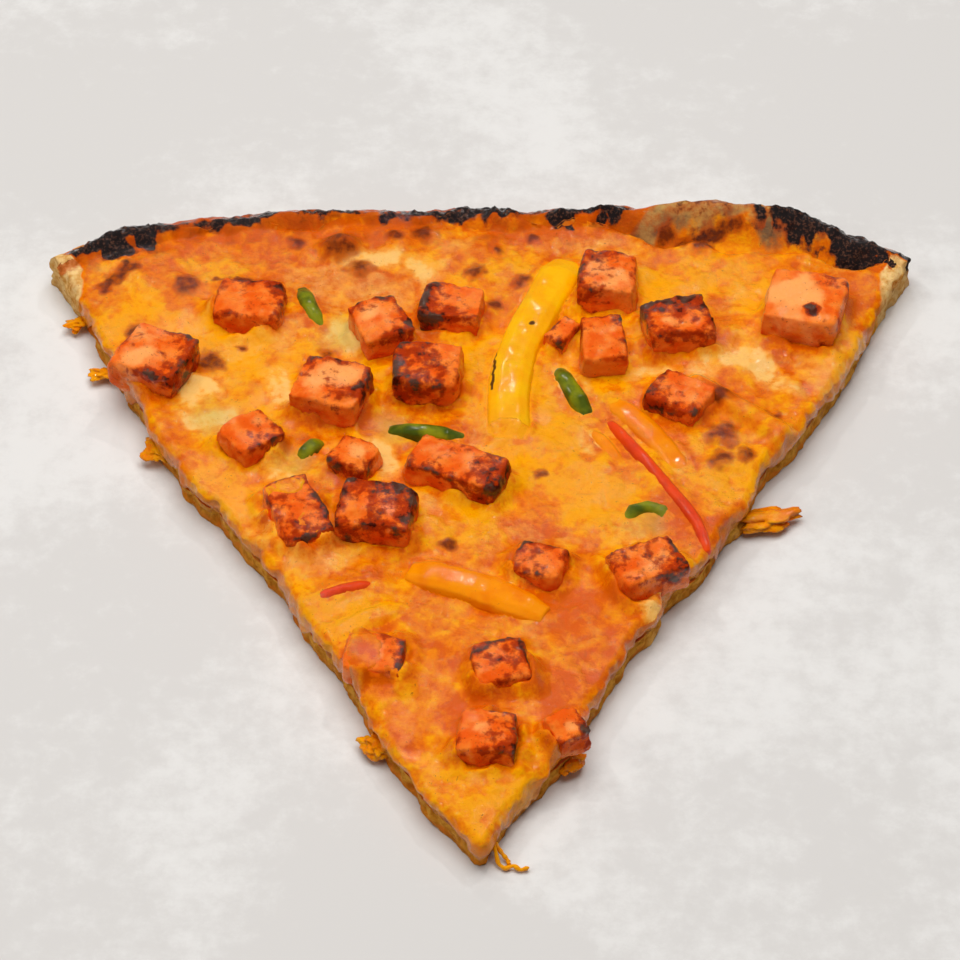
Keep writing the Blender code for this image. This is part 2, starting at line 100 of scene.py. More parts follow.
# Brown toasted spots on the cheese: x, y, radius.
BROWN_SPOTS = (
    (-24.8, 133.4, 3.6), (-21, 128, 2.3), (-10, 137, 1.9), (-15, 136.4, 1.5),
    (3, 133, 1.4), (-1, 127, 1.9), (7, 125, 1.5),
    (9, 136, 1.4), (3, 119, 1.5), (-26, 106, 1.7), (-46, 105, 2.6), (-51, 124, 2.4), (-59, 112, 2.0),
    (41, 87, 2.8), (40, 81, 2.3), (44.5, 82, 1.8), (41, 96, 2.2), (10, 78, 1.3), (-5, 62, 1.3),
    (33, 137, 1.6), (39, 134, 1.5), (-32, 135, 1.5), (50, 92, 1.2), (-41, 108, 1.2), (20, 131, 1.2),
)
# Nearly black places: x, y, radius along X, radius along Y, turn.
CHAR_SPOTS = (
    (-66.8, 135.2, 3.2, 2.6, 20), (-60.2, 137.2, 3.8, 3.2, -15), (-63.4, 132.6, 2.6, 2.0, 30),
    (-69.4, 132.4, 2.0, 1.0, 0), (-58.0, 133.8, 1.3, 1.2, 0), (-73.4, 137.2, 2.4, 0.9, 30),
    (3.5, 141.4, 2.6, 1.7, 0), (14.6, 140.6, 2.7, 1.8, 0),
    (22.6, 142.0, 3.0, 1.9, 0), (66.6, 131.2, 1.2, 0.8, 10), (70.6, 129.6, 2.6, 0.8, -10),
    (68.8, 132.4, 1.3, 0.7, 0), (73.6, 131.4, 1.4, 0.8, 0),
)
# Dark maroon streaks: two ends and half width.
STREAKS = (
    ((-65.2, 123.2), (-60.6, 128.4), 1.5),
    ((-46.0, 125.0), (-37.6, 124.2), 0.6),
    ((34.6, 135.0), (45.5, 137.0), 1.0),
)
# The big blister by the right corner: each place is two ends and a half width.
BLISTER_BLACK = (((51.6, 139.6), (59.0, 138.4), 4.6), ((59.0, 138.0), (67.0, 132.8), 3.0))
BLISTER_GREY = (((35.5, 139.6), (47.4, 140.8), 2.6),)
BLISTER_TAN = (((26.0, 136.0), (33.0, 140.6), 2.0), ((33.0, 141.6), (46.0, 143.8), 2.0))
CREAM_STREAK = ((48.9, 142.0), (49.7, 134.6), 0.75)
# Pale cream cheese: x, y, half sizes, turn, strength.
PALE_SPOTS = (
    (-18.4, 129.8, 5.4, 3.4, -10, 0.9), (-10.0, 127.0, 4.4, 3.4, 0, 0.8), (-24.0, 111.0, 2.4, 4.6, 24, 1.0),
    (-48.6, 98.6, 4.0, 3.8, -20, 1.0), (-45.0, 91.8, 6.0, 2.2, -12, 0.8), (-33.6, 99.0, 2.6, 3.6, 0, 0.8),
    (-15.8, 81.6, 3.0, 5.2, 10, 1.0), (46.0, 105.0, 3.6, 6.4, 24, 0.9), (15.6, 98.4, 2.6, 4.0, 0, 0.9),
    (39.6, 104.0, 3.4, 5.0, 0, 0.7), (-3.5, 134.4, 4.4, 4.2, 0, 0.6), (21.0, 135.0, 7.0, 3.0, 0, 0.55),
    (29.6, 46.4, 4.0, 4.6, 20, 0.9), (8.6, 41.4, 4.6, 4.6, 0, 0.35), (-31.0, 78.0, 4.2, 2.4, -10, 0.7),
    (30.6, 101.6, 4.6, 2.2, -14, 0.8), (-9.4, 71.0, 5.0, 2.0, -20, 0.6), (58.4, 101.0, 4.0, 5.0, 30, 0.6),
    (27.0, 127.0, 3.0, 5.0, 0, 0.5), (-52.6, 112.4, 3.0, 2.4, 0, 0.4), (17.0, 86.4, 2.0, 3.6, 0, 0.7),
    (8.0, 66.0, 6.0, 3.0, -30, 0.4), (-24.4, 60.0, 4.4, 3.2, -20, 0.6), (50.6, 98.4, 4.0, 3.4, -30, 0.7),
)
# Greenish stains round the green pepper: x, y, radius.
GREEN_SPOTS = (
    (-24.4, 111.6, 3.0), (-45.0, 91.6, 3.6), (-14.0, 88.8, 3.4), (-31.0, 80.6, 2.6), (27.6, 68.0, 3.0),
)
# Bright yellow melted cheese: x, y, radius.
GOLD_SPOTS = (
    (8, 84, 9), (-58, 113, 7), (-44, 112, 6), (-36, 104, 7), (10, 96, 7), (-46, 128, 5), (50, 124, 6),
    (-14, 104, 5), (0, 105, 6), (-36, 92, 5), (63, 108, 5), (44, 78, 6), (-20, 47, 8), (18, 70, 7),
    (33, 124, 5),
)
# Redder sauce showing through: x, y, radius.
RED_SPOTS = (
    (-55, 129, 7), (-46, 132, 6), (-36, 131, 6), (-17, 137, 6), (10, 62, 7), (14, 50, 8), (0, 27, 6),
    (-19, 36, 9), (53, 129, 5), (63, 121, 5), (-50, 118, 4), (16, 33, 8), (-38, 125, 5), (36, 118, 4),
)

# How much of each topping the cheese covers: 0 leaves it bare, 1 buries it.
COVER = {
    "paneer_02": 0.30, "paneer_09": 0.45, "paneer_15": 0.34, "paneer_18": 0.22, "paneer_19": 0.62,
    "paneer_20": 0.34, "paneer_21": 0.36, "paneer_22": 0.25, "paneer_17": 0.25, "paneer_11": 0.18,
    "orange_pepper_3": 0.20, "orange_pepper_4": 0.85, "green_pepper_5": 0.30, "paneer_08": 0.20,
}

# The cheese hides the yellow strip's front end.
YELLOW_END_COVER = 1.0

# Scraps that stick out low at the cut sides: middle, half sizes, turn.
SCRAPS = (
    ((48.2, 72.6, 2.0), (5.4, 2.3, 1.7), 12),
    ((-54.2, 88.5, 2.2), (3.2, 2.4, 1.8), -40),
    ((-69.6, 120.4, 1.7), (2.6, 1.7, 1.4), 20),
    ((-64.2, 107.8, 1.8), (3.0, 1.8, 1.5), 10),
    ((-16.4, 23.6, 2.2), (2.6, 3.0, 1.9), 25),
    ((13.4, 19.4, 2.0), (2.4, 2.6, 1.8), -30),
)


# Noise and simple shapes


def smooth(low, high, value):
    t = np.clip((value - low) / (high - low), 0, 1)
    return t * t * (3 - 2 * t)


def lattice(cells, seed):
    """A fixed random number from 0 to 1 for each whole-numbered cell."""
    factors = np.array([73856093, 19349663, 83492791][: cells.shape[1]], np.int64)
    mixed = (cells * factors).sum(axis=1) + seed * 2654435761
    mixed = (mixed ^ (mixed >> 13)) * 1274126177 & 0xFFFFFFFF
    mixed = (mixed ^ (mixed >> 15)) * 2246822519 & 0xFFFFFFFF
    return (mixed ^ (mixed >> 16) & 0xFFFFFFFF) / 0xFFFFFFFF


def noise(points, size, seed):
    """Soft random waves from 0 to 1, about this size, in as many dimensions as the points have."""
    scaled = points / size
    cell = np.floor(scaled).astype(np.int64)
    part = scaled - cell
    part = part * part * part * (part * (part * 6 - 15) + 10)
    dims = points.shape[1]
    total = np.zeros(len(points))
    for corner in range(2**dims):
        offset = np.array([corner >> k & 1 for k in range(dims)])
        weight = np.prod(np.where(offset, part, 1 - part), axis=1)
        total += weight * lattice(cell + offset, seed)
    return total


def fractal(points, size, octaves, seed):
    """Waves with finer ones on top, centred on 0 and mostly between -1 and 1."""
    total, weight, reach = 0.0, 1.0, 0.0
    for k in range(octaves):
        total = total + weight * (2 * noise(points, size / 2**k, seed + 17 * k) - 1)
        reach += weight
        weight *= 0.5
    return 1.6 * total / reach


def ripple(x, y, wavelength, seed):
    rng = np.random.default_rng(seed)
    total = 0.0
    for turn, phase, stretch in rng.random((6, 3)):
        reach = wavelength * (0.7 + 0.8 * stretch)
        along = x * math.cos(math.tau * turn) + y * math.sin(math.tau * turn)
        total = total + np.sin(math.tau * (along / reach + phase))
    return total / 3.2


def oval(plan, x, y, half_x, half_y, turn):
    """Distance from a turned oval's middle: 1 on its edge."""
    c, s = math.cos(math.radians(turn)), math.sin(math.radians(turn))
    dx, dy = plan[:, 0] - x, plan[:, 1] - y
    return np.hypot((dx * c + dy * s) / half_x, (dy * c - dx * s) / half_y)


def segment_distance(plan, start, end):
    span = np.subtract(end, start)
    t = np.clip(((plan - start) @ span) / span.dot(span), 0, 1)
    return np.linalg.norm(plan - start - t[:, None] * span, axis=1)


# The plan


def back_edge(x):
    corner_x, corner_y = SIDE * math.sin(HALF_ANGLE), SIDE * math.cos(HALF_ANGLE)
    bow = np.abs(x / corner_x) ** BACK_SHARPNESS
    return BACK_MIDDLE - (BACK_MIDDLE - corner_y) * bow + 0.45 * ripple(x, 0 * x, 17, 5) * (1 - bow)


def side_points(side, wander, outward):
    along = np.arange(1.0, SIDE - 0.5, EDGE_STEP)
    offset = np.interp(along, *zip(*wander)) + 0.25 * ripple(along, 0 * along, 9, 11 + side) + outward
    offset = offset + 0.30 * fractal(np.stack([along, 0 * along], axis=1), 3.0, 3, 70 + side)
    direction = np.array([side * math.sin(HALF_ANGLE), math.cos(HALF_ANGLE)])
    normal = np.array([side * math.cos(HALF_ANGLE), -math.sin(HALF_ANGLE)])
    return along[:, None] * direction + offset[:, None] * normal


def outline(outward=0.0, back_inset=None):
    """The plan, counter-clockwise from the tip. back_inset(x) holds a layer off the crust's edge."""
    right = side_points(1, RIGHT_WANDER, outward)
    left = side_points(-1, LEFT_WANDER, outward)
    inset = back_inset or (lambda x: 0 * x)
    right, left = (p[p[:, 1] < back_edge(p[:, 0]) - inset(p[:, 0]) - 0.6] for p in (right, left))
    x = np.arange(right[-1, 0] - 0.4, left[-1, 0] + 0.4, -EDGE_STEP)
    back = np.stack([x, back_edge(x) - inset(x)], axis=1)
    back[:, 1] += 0.25 * fractal(back, 2.4, 2, 77) * (0.4 if back_inset else 1.0)
    tip = np.array([[0.0, 0.3 - 1.6 * outward]])
    return np.concatenate([tip, right, back, left[::-1]])


def outward_normals(corners):
    span = np.roll(corners, -2, axis=0) - np.roll(corners, 2, axis=0)
    normal = np.stack([span[:, 1], -span[:, 0]], axis=1)
    return normal / np.linalg.norm(normal, axis=1, keepdims=True)


def from_outline(points, corners):
    """Distance of each point inside from the outline, and below 0 outside."""
    ends = np.roll(corners, -1, axis=0)
    crosses_left = np.zeros(len(points), int)
    away = np.full(len(points), 1e9)
    for start, end in zip(corners, ends):
        away = np.minimum(away, (points[:, 0] - start[0]) ** 2 + (points[:, 1] - start[1]) ** 2)
        hit = (start[1] > points[:, 1]) != (end[1] > points[:, 1])
        if start[1] != end[1]:
            at = start[0] + (points[:, 1] - start[1]) * (end[0] - start[0]) / (end[1] - start[1])
            crosses_left += hit & (points[:, 0] < at)
    return np.where(crosses_left % 2 == 1, 1, -1) * np.sqrt(away)


def grid_inside(corners, step, clear, keep=None):
    """Points on an even triangular grid inside the outline."""
    low, high = corners.min(axis=0), corners.max(axis=0)
    rows = np.arange(low[1], high[1], step * 0.866)
    columns = np.arange(low[0], high[0], step)
    x, y = np.meshgrid(columns, rows)
    x = x + (np.arange(len(rows))[:, None] % 2) * step / 2
    points = np.stack([x.ravel(), y.ravel()], axis=1)
    points += step * 0.18 * (np.random.default_rng(4).random(points.shape) - 0.5)
    if keep is not None:
        points = points[keep(points)]
    return points[from_outline(points, corners) > clear]


# Heights


def inwards(plan):
    """Distance of a point from the crust's outer edge."""
    return back_edge(plan[:, 0]) - plan[:, 1]


def beside_blister(x):
    return smooth(BLISTER_HALF_X + 6, BLISTER_HALF_X - 1, np.abs(x - BLISTER_X))


def cheese_back(x):
    return CHEESE_BACK + 4.6 * beside_blister(x) + 1.3 * ripple(x, 0 * x, 12, 8)


def blister(plan):
    across = (plan[:, 0] - BLISTER_X) / BLISTER_HALF_X
    deep = (BLISTER_BACK - inwards(plan)) / BLISTER_HALF_Y
    return np.clip(1 - across**2 - deep**2, 0, 1) ** 0.6


def crust_height(plan):
    x, inner_reach = plan[:, 0], inwards(plan)
    crest = RIM_HEIGHT - CORNER_DROP * smooth(62, 76, np.abs(x)) + 0.35 * ripple(x, plan[:, 1], 14, 3)
    for middle, half, swell in RIM_BLISTERS:
        crest = crest + swell * np.exp(-(((x - middle) / half) ** 2))
    inner = DOUGH + (crest - DOUGH) * smooth(RIM_FOOT, RIM_CREST, inner_reach)
    outer = RIM_OUTER + (crest - RIM_OUTER) * np.sqrt(np.clip(inner_reach / RIM_CREST, 0, 1))
    smooth_top = np.where(inner_reach > RIM_CREST, inner, outer) + BLISTER_SWELL * blister(plan)
    rough = 0.35 * fractal(plan, 3.2, 3, 31) + 0.5 * char_mask(plan) * fractal(plan, 1.3, 2, 33)
    return smooth_top + rough * smooth(RIM_FOOT + 3, RIM_CREST, inner_reach)


def cheese_level(plan, corners):
    """The top of the cheese, before it meets the toppings."""
    start, end, half, height = BURIED
    ridge = height * smooth(half, half * 0.2, segment_distance(plan, start, end))
    waves = 0.4 * ripple(plan[:, 0], plan[:, 1], 24, 21) + 0.25 * ripple(plan[:, 0], plan[:, 1], 10, 22)
    calm = 1 - 0.6 * pale_mask(plan)
    pimples = 0.15 * fractal(plan, 1.9, 2, 24) + 0.07 * fractal(plan, 0.9, 1, 25)
    fine = 0.22 * fractal(plan, 4.5, 2, 23) + calm * pimples
    edge = from_outline(plan, corners)
    flat = CHEESE_TOP - TIP_DROP * smooth(TIP_REACH, 0, plan[:, 1]) + waves + ridge + fine
    flat = flat - 0.7 * smooth(1.1, 0, edge) + 0.7 * domes(plan)
    over_rim = smooth(0, 2.5, inwards(plan) - cheese_back(plan[:, 0]))
    near_rim = crust_height(plan) + 0.75 * over_rim + fine * 0.5 - 0.1
    return np.maximum(flat, near_rim)


def domes(plan):
    """Small blisters in the cheese: toasted spots rise a little, the dark one by the rim more."""
    total = 2.2 * smooth(1.2, 0.2, oval(plan, -24.8, 133.4, 4.4, 3.0, 0))
    for x, y, radius in BROWN_SPOTS:
        total = total + 0.5 * smooth(1.2, 0.2, oval(plan, x, y, radius, radius, 0))
    return total


# Painted masks, each from 0 to 1


def warped(plan, size, reach, seed):
    return plan + reach * np.stack([fractal(plan, size, 2, seed), fractal(plan, size, 2, seed + 5)], axis=1)


def spots(plan, places, soft=0.65):
    """1 inside each round place, with a soft edge."""
    total = np.zeros(len(plan))
    for x, y, radius in places:
        total = np.maximum(total, smooth(1 + soft, 1 - soft, oval(plan, x, y, radius, radius, 0)))
    return total


def streaks(plan, places, soft=0.35):
    """1 inside each round-ended bar, with a soft edge."""
    total = np.zeros(len(plan))
    for start, end, half in places:
        away = segment_distance(plan, start, end)
        total = np.maximum(total, smooth(half * (1 + soft), half * (1 - soft), away))
    return total


def char_mask(plan):
    """Black and nearly black places on the rim, the big blister and beside them."""
    bent = warped(plan, 2.4, 1.0, 41)
    total = np.zeros(len(plan))
    for x, y, half_x, half_y, turn in CHAR_SPOTS:
        total = np.maximum(total, smooth(1.5, 0.7, oval(bent, x, y, half_x, half_y, turn)))
    total = np.maximum(total, 0.36 * streaks(bent, STREAKS))
    x, deep = plan[:, 0], inwards(plan)
    where = 0.62 + 0.38 * smooth(-0.4, 0.3, fractal(plan, 8, 2, 45))
    where = where * (1 - smooth(24, 30, x) * smooth(52, 48, x))
    edge = smooth(6.0, 4.0, deep + 1.6 * fractal(plan, 3.4, 3, 43)) * where
    edge = edge * (0.45 + 0.55 * smooth(1.2, 3.6, deep + 1.8 * fractal(plan, 5.0, 3, 49)))
    torn = warped(bent, 5.0, 1.6, 46)
    black = streaks(torn, BLISTER_BLACK, 0.45) * (1 - 0.9 * streaks(torn, (CREAM_STREAK,), 0.5))
    grey = 0.40 * streaks(bent, BLISTER_GREY, 0.9)
    return np.clip(np.maximum.reduce([total, edge, black, grey]), 0, 1)


def skin_mask(plan):
    """The big blister's own burnt skin, tan at its crest and grey in front of it."""
    bent = warped(warped(plan, 5.0, 1.8, 47), 1.6, 0.6, 48)
    skin = np.maximum(streaks(bent, BLISTER_GREY, 0.9), streaks(bent, BLISTER_TAN, 0.9))
    return np.clip(np.maximum(skin, 0.8 * streaks(bent, BLISTER_BLACK, 0.5)), 0, 1)


def brown_mask(plan):
    bent = warped(plan, 2.0, 0.7, 51)
    toasted = np.maximum(spots(bent, BROWN_SPOTS), streaks(bent, STREAKS, 0.6))
    deep = inwards(plan)
    rim = 0.72 * smooth(9.5, 4.0, deep + 2.6 * fractal(plan, 4.5, 3, 53)) * (1 - smooth(26, 32, plan[:, 0]))
    mottled = 0.42 * smooth(-0.1, 0.8, fractal(plan, 4, 3, 55)) * smooth(19, 9, deep)
    char_halo = 0.8 * smooth(0.05, 0.6, char_mask(warped(plan, 1.5, 0.8, 57)))
    return np.clip(np.maximum.reduce([toasted, rim, mottled, char_halo]), 0, 1)


def pale_mask(plan):
    bent = warped(plan, 6.0, 2.2, 61)
    total = np.zeros(len(plan))
    for x, y, half_x, half_y, turn, strength in PALE_SPOTS:
        total = np.maximum(total, strength * smooth(1.6, 0.4, oval(bent, x, y, half_x, half_y, turn)))
    scattered = 0.50 * smooth(0.15, 0.8, fractal(bent, 8.0, 3, 63)) * smooth(20, 60, plan[:, 1])
    cream = 0.7 * streaks(warped(warped(plan, 2.4, 1.0, 41), 5.0, 1.6, 46), (CREAM_STREAK,), 0.6)
    near_rim = 1 - 0.8 * smooth(12, 7, inwards(plan))
    return np.clip(np.maximum(np.maximum(total, scattered) * near_rim, cream), 0, 1)


def gold_mask(plan):
    bent = warped(plan, 5.0, 2.0, 65)
    base = 0.60 + 0.34 * fractal(bent, 11.0, 3, 66) + 0.26 * fractal(bent, 2.6, 3, 67)
    base = base - 0.45 * smooth(15, 7, inwards(plan)) * smooth(36, 24, plan[:, 0])
    return np.clip(base + 0.5 * spots(bent, GOLD_SPOTS, 0.8) - 0.26 * spots(bent, RED_SPOTS, 0.9), 0, 1)


def bare_dough(plan, corners):
    """Ragged dough with nothing on it, at the two outer corners."""
    edge = from_outline(plan, corners)
    ragged = smooth(4.2, 1.6, edge + 1.4 * fractal(plan, 3.0, 3, 69))
    left = smooth(-67, -71, plan[:, 0]) * smooth(9.5, 6.0, np.abs(inwards(plan) - 8))
    right = smooth(67, 72, plan[:, 0]) * smooth(3.0, 6.0, inwards(plan))
    return ragged * np.maximum(left, right)


def green_mask(plan):
    return 0.8 * spots(warped(plan, 4.0, 1.5, 68), GREEN_SPOTS, 0.8)


# Meshes


def mesh_object(name, points, faces, masks, material):
    mesh = bpy.data.meshes.new(name)
    mesh.from_pydata((np.asarray(points) * MM + SHIFT).tolist(), [], faces)
    for mask, values in masks.items():
        attribute = mesh.attributes.new(mask, "FLOAT", "POINT")
        attribute.data.foreach_set("value", np.asarray(values, np.float32))
    mesh.materials.append(material)
    mesh.shade_smooth()
    obj = bpy.data.objects.new(name, mesh)
    bpy.context.scene.collection.objects.link(obj)
    return obj


def triangles(corners, inner):
    count = len(corners)
    edges = [(i, (i + 1) % count) for i in range(count)]
    plan = np.concatenate([corners, inner])
    found = delaunay_2d_cdt([Vector(p) for p in plan], edges, [], 1, 1e-7)
    order = [sources[0] for sources in found[3]]
    return [tuple(order[i] for i in face) for face in found[2]]


def slab(corners, inner, top, bottom, rows, push):
    """Points and faces of a closed sheet with fine cut sides.

    top(plan) and bottom(plan) give heights, and push(points, height) moves the sides outwards."""
    normals = outward_normals(corners)
    low, high = bottom(corners), top(np.concatenate([corners, inner]))
    rings = []
    for row in range(rows + 1):
        share = row / rows
        z = low + (high[: len(corners)] - low) * share
        points = np.column_stack([corners, z])
        points[:, :2] += normals * push(points, share)[:, None]
        rings.append(points)
    count = len(corners)
    wall = np.concatenate(rings)
    over = np.column_stack([inner, high[count:]])
    coarse = grid_inside(corners, HIDDEN_GRID, 1.0)
    under = np.column_stack([coarse, bottom(coarse)])
    points = np.concatenate([wall, over, under])
    top_start, over_start = rows * count, len(wall)
    under_start = over_start + len(over)
    faces = []
    for row in range(rows):
        for i in range(count):
            j = (i + 1) % count
            faces.append((row * count + i, row * count + j, (row + 1) * count + j, (row + 1) * count + i))
    for face in triangles(corners, inner):
        faces.append(tuple(top_start + i if i < count else over_start + i - count for i in face))
    for face in triangles(corners, coarse):
        faces.append(tuple(i if i < count else under_start + i - count for i in reversed(face)))
    on_wall = np.zeros(len(points))
    on_wall[: rows * count] = 1
    return points, faces, on_wall


def add_crust():
    corners = outline()
    fine = grid_inside(corners, RIM_GRID, 0.3, lambda p: inwards(p) < RIM_DETAIL)
    coarse = grid_inside(corners, HIDDEN_GRID, 0.8, lambda p: inwards(p) >= RIM_DETAIL)

    def push(points, share):
        crumb = 0.45 * fractal(points * (1, 1, 1.6), 2.6, 3, 81)
        pores = 0.7 * smooth(0.35, 0.8, fractal(points, 1.7, 2, 83))
        return (crumb - pores) * (0.25 + 0.75 * math.sin(math.pi * min(share, 0.9)))

    points, faces, on_wall = slab(
        corners, np.concatenate([fine, coarse]), crust_height, lambda p: 0 * p[:, 0], 12, push
    )
    plan = points[:, :2]
    deep = inwards(plan)
    side_wall = on_wall * smooth(2.0, 4.5, deep)
    under = (points[:, 2] < 0.02).astype(float)
    cut_corner = smooth(66, 72, np.abs(plan[:, 0])) * on_wall
    bare = bare_dough(plan, corners)
    back_wall = on_wall * (1 - side_wall)
    high = smooth(2.5, 6.5, points[:, 2] + 2.2 * fractal(points, 5, 3, 94))
    browned = brown_mask(plan) * (1 - side_wall) * (1 - 0.8 * bare) * (1 - 0.4 * back_wall)
    burnt = char_mask(plan) * (1 - side_wall) * (1 - bare) * (1 - 0.75 * back_wall * (1 - high))
    bread = [0.4 * side_wall, cut_corner, bare, under, back_wall * (1 - 0.7 * high)]
    moist = smooth(0.5, 2.6, points[:, 2] + 0.9 * fractal(points, 3, 2, 93))
    masks = {
        "gold": np.clip(0.08 + 0.40 * fractal(plan, 5, 3, 91) + 0.45 * smooth(22, 34, plan[:, 0]), 0, 1),
        "pale": pale_mask(plan),
        "green": 0 * deep,
        "brown": np.clip(browned, 0, 1),
        "char": np.clip(burnt, 0, 1),
        "skin": skin_mask(plan) * (1 - side_wall),
        "dough": np.clip(np.maximum.reduce(bread), 0, 1),
        "soak": side_wall * (0.55 + 0.45 * moist) * smooth(12, 22, deep),
    }
    piece = mesh_object("crust_baked", points, faces, masks, baked_material("crust_baked", 0.55, 0.0))
    finish_piece(piece, "crust")


def add_sauce():
    corners = outline(-0.15, lambda x: 11.2 + 3.2 * beside_blister(x))
    inner = grid_inside(corners, HIDDEN_GRID, 1.0)

    def push(points, share):
        return 0.30 * fractal(points, 2.4, 3, 101) + 0.15 * math.sin(math.pi * share)

    points, faces, on_wall = slab(
        corners, inner, lambda p: SAUCE_HIGH + 0 * p[:, 0], lambda p: SAUCE_LOW + 0 * p[:, 0], 5, push
    )
    piece = mesh_object("sauce_layer", points, faces, {}, sauce_material())
    finish_piece(piece, "sauce")


# How high the cheese climbs beside these toppings, and beside the other cubes and strips.
CLIMB = {
    "yellow_pepper": 0.5, "paneer_09": 2.0, "paneer_19": 2.2, "paneer_20": 2.1, "paneer_21": 2.1,
    "paneer_22": 1.9, "paneer_17": 1.9, "paneer_18": 1.9, "paneer_02": 2.0,
}
CUBE_CLIMB = 1.4
STRIP_CLIMB = 0.3


def topping_contact(plan, level):
    """For each point of the cheese: how high it climbs beside the nearest topping, the distance
    to it, the height of the topping over the point (0 where there is none), how much that
    topping is covered, and whether it is a cube."""
    near = np.full(len(plan), 9.0)
    climb, roof, cover, cube = (np.zeros(len(plan)) for _ in range(4))
    world = np.column_stack([plan, level]) * MM + SHIFT
    reach = 3 * MM
    for name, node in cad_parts.items():
        if name in ("crust", "sauce", "cheese"):
            continue
        low, high = (np.array(corner[:2]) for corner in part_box(name))
        close = np.flatnonzero(((world[:, :2] > low - reach) & (world[:, :2] < high + reach)).all(axis=1))
        corners = [v.co for v in node.data.vertices]
        tree = BVHTree.FromPolygons(corners, [p.vertices[:] for p in node.data.polygons])
        usual = CUBE_CLIMB if name.startswith("paneer") else STRIP_CLIMB
        for i in close:
            place = Vector(world[i])
            away = tree.find_nearest(place)[3] / MM
            hit = tree.ray_cast(Vector((place.x, place.y, 1.0)), Vector((0, 0, -1)))[0]
            if hit is not None:
                roof[i] = max(roof[i], hit.z / MM)
                away = 0.0
                cover[i] = COVER.get(name, 0.0)
                if name == "yellow_pepper":
                    cover[i] = YELLOW_END_COVER * float(smooth(93, 86, plan[i, 1]))
                cube[i] = name.startswith("paneer")
            if away < near[i]:
                near[i] = away
                climb[i] = CLIMB.get(name, usual)
    return near, climb, roof, cover, cube


def add_cheese():
    corners = outline(0.45, cheese_back)
    inner = grid_inside(corners, CHEESE_GRID, 0.28)
    plan = np.concatenate([corners, inner])
    level = cheese_level(plan, corners)
    near, climb, roof, cover, cube = topping_contact(plan, level)
    uneven = np.clip(0.55 + 1.1 * fractal(plan, 4.2, 2, 111), 0, 1.5)
    cling = climb * uneven * np.exp(-((near / (0.6 + 0.6 * climb)) ** 2))
    patchy = smooth(0.66, 0.36, (1 - cover) + 0.26 * fractal(plan, 4.5, 2, 113)) * (cover > 0)
    under = roof > 0
    hidden = np.minimum(level + cling, np.maximum(level, roof - 0.25))
    draped = np.maximum(level, roof + 0.22 + 0.10 * fractal(plan, 1.6, 2, 115))
    height = np.where(under, hidden + (draped - hidden) * smooth(0.35, 0.65, patchy), level + cling)
    drip = 3.0 * smooth(-0.25, 0.8, fractal(corners, 6.0, 3, 117)) * smooth(8, 14, inwards(corners))

    def top(points):
        return height[: len(points)]

    def bottom(points):
        foot = np.maximum(CHEESE_LOW, crust_height(points) - 0.3)
        return foot - drip if len(points) == len(corners) else foot

    def push(points, share):
        bulge = 0.25 * math.sin(math.pi * share) + 0.40 * fractal(points, 2.0, 3, 119)
        return bulge + 0.20 * smooth(0, 1.5, drip) * (1 - share) - 0.1

    rows = 8
    points, faces, on_wall = slab(corners, inner, top, bottom, rows, push)
    plan = points[:, :2]
    over = slice(len(corners) * (rows + 1), len(corners) * (rows + 1) + len(inner))
    film, contact_shade = np.zeros((2, len(points)))
    film[over] = (patchy * under)[len(corners) :]
    red_film = film * 0
    red_film[over] = (patchy * cube)[len(corners) :]
    # Painted shade: close beside the toppings the cheese's colour is made redder and less pale, standing in
    # for the shade that falls round them.
    contact_shade[over] = (np.exp(-((near / 1.5) ** 2)) * ~under)[len(corners) :]
    patchy_contact_shade = contact_shade * smooth(-0.4, 0.5, fractal(plan, 4, 2, 121))
    bare = bare_dough(plan, outline())
    # Painted shade and light: following the same fine relief as the cheese's pimples, the colour turns more
    # golden on the bumps and redder in the hollows between them.
    painted_relief_shade = 0.16 * fractal(plan, 1.9, 2, 24) + 0.12 * fractal(plan, 0.9, 1, 25)
    gold = gold_mask(plan) + painted_relief_shade - 0.25 * red_film - 0.5 * patchy_contact_shade - 0.2 * on_wall
    wall_toast = smooth(0, 0.6, fractal(points, 3, 2, 123))
    masks = {
        "gold": np.clip(gold, 0, 1),
        "pale": np.clip(pale_mask(plan) * (1 - 0.6 * on_wall) * (1 - film) * (1 - 0.6 * patchy_contact_shade), 0, 1),
        "green": green_mask(plan),
        "brown": np.clip(brown_mask(plan) * (1 - on_wall) + 0.3 * on_wall * wall_toast, 0, 1),
        "char": char_mask(plan) * (1 - on_wall),
        "skin": 0.8 * skin_mask(plan) * smooth(9, 6, inwards(plan)),
        "dough": bare,
        "soak": 0.5 * on_wall + 0.35 * red_film * smooth(0, 0.5, fractal(plan, 2.5, 2, 125)),
    }
    piece = mesh_object("cheese_melted", points, faces, masks, baked_material("cheese_melted", 0.34, 0.10))
    finish_piece(piece, "cheese")


def fine_copy(node_name, voxel, smoothing):
    """Points and faces of a CAD topping, remeshed finely, in the plan's millimetres."""
    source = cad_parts[node_name]
    obj = bpy.data.objects.new("work", source.data.copy())
    bpy.context.scene.collection.objects.link(obj)
    remesh = obj.modifiers.new("remesh", "REMESH")
    remesh.mode = "VOXEL"
    remesh.voxel_size = voxel * MM
    soften = obj.modifiers.new("soften", "SMOOTH")
    soften.iterations = smoothing
    bpy.context.view_layer.update()
    mesh = obj.evaluated_get(bpy.context.evaluated_depsgraph_get()).to_mesh()
    points = np.empty(len(mesh.vertices) * 3)
    mesh.vertices.foreach_get("co", points)
    normals = np.array([v.normal[:] for v in mesh.vertices])
    faces = [tuple(p.vertices) for p in mesh.polygons]
    bpy.data.objects.remove(obj)
    return (points.reshape(-1, 3) - SHIFT) / MM, normals, faces


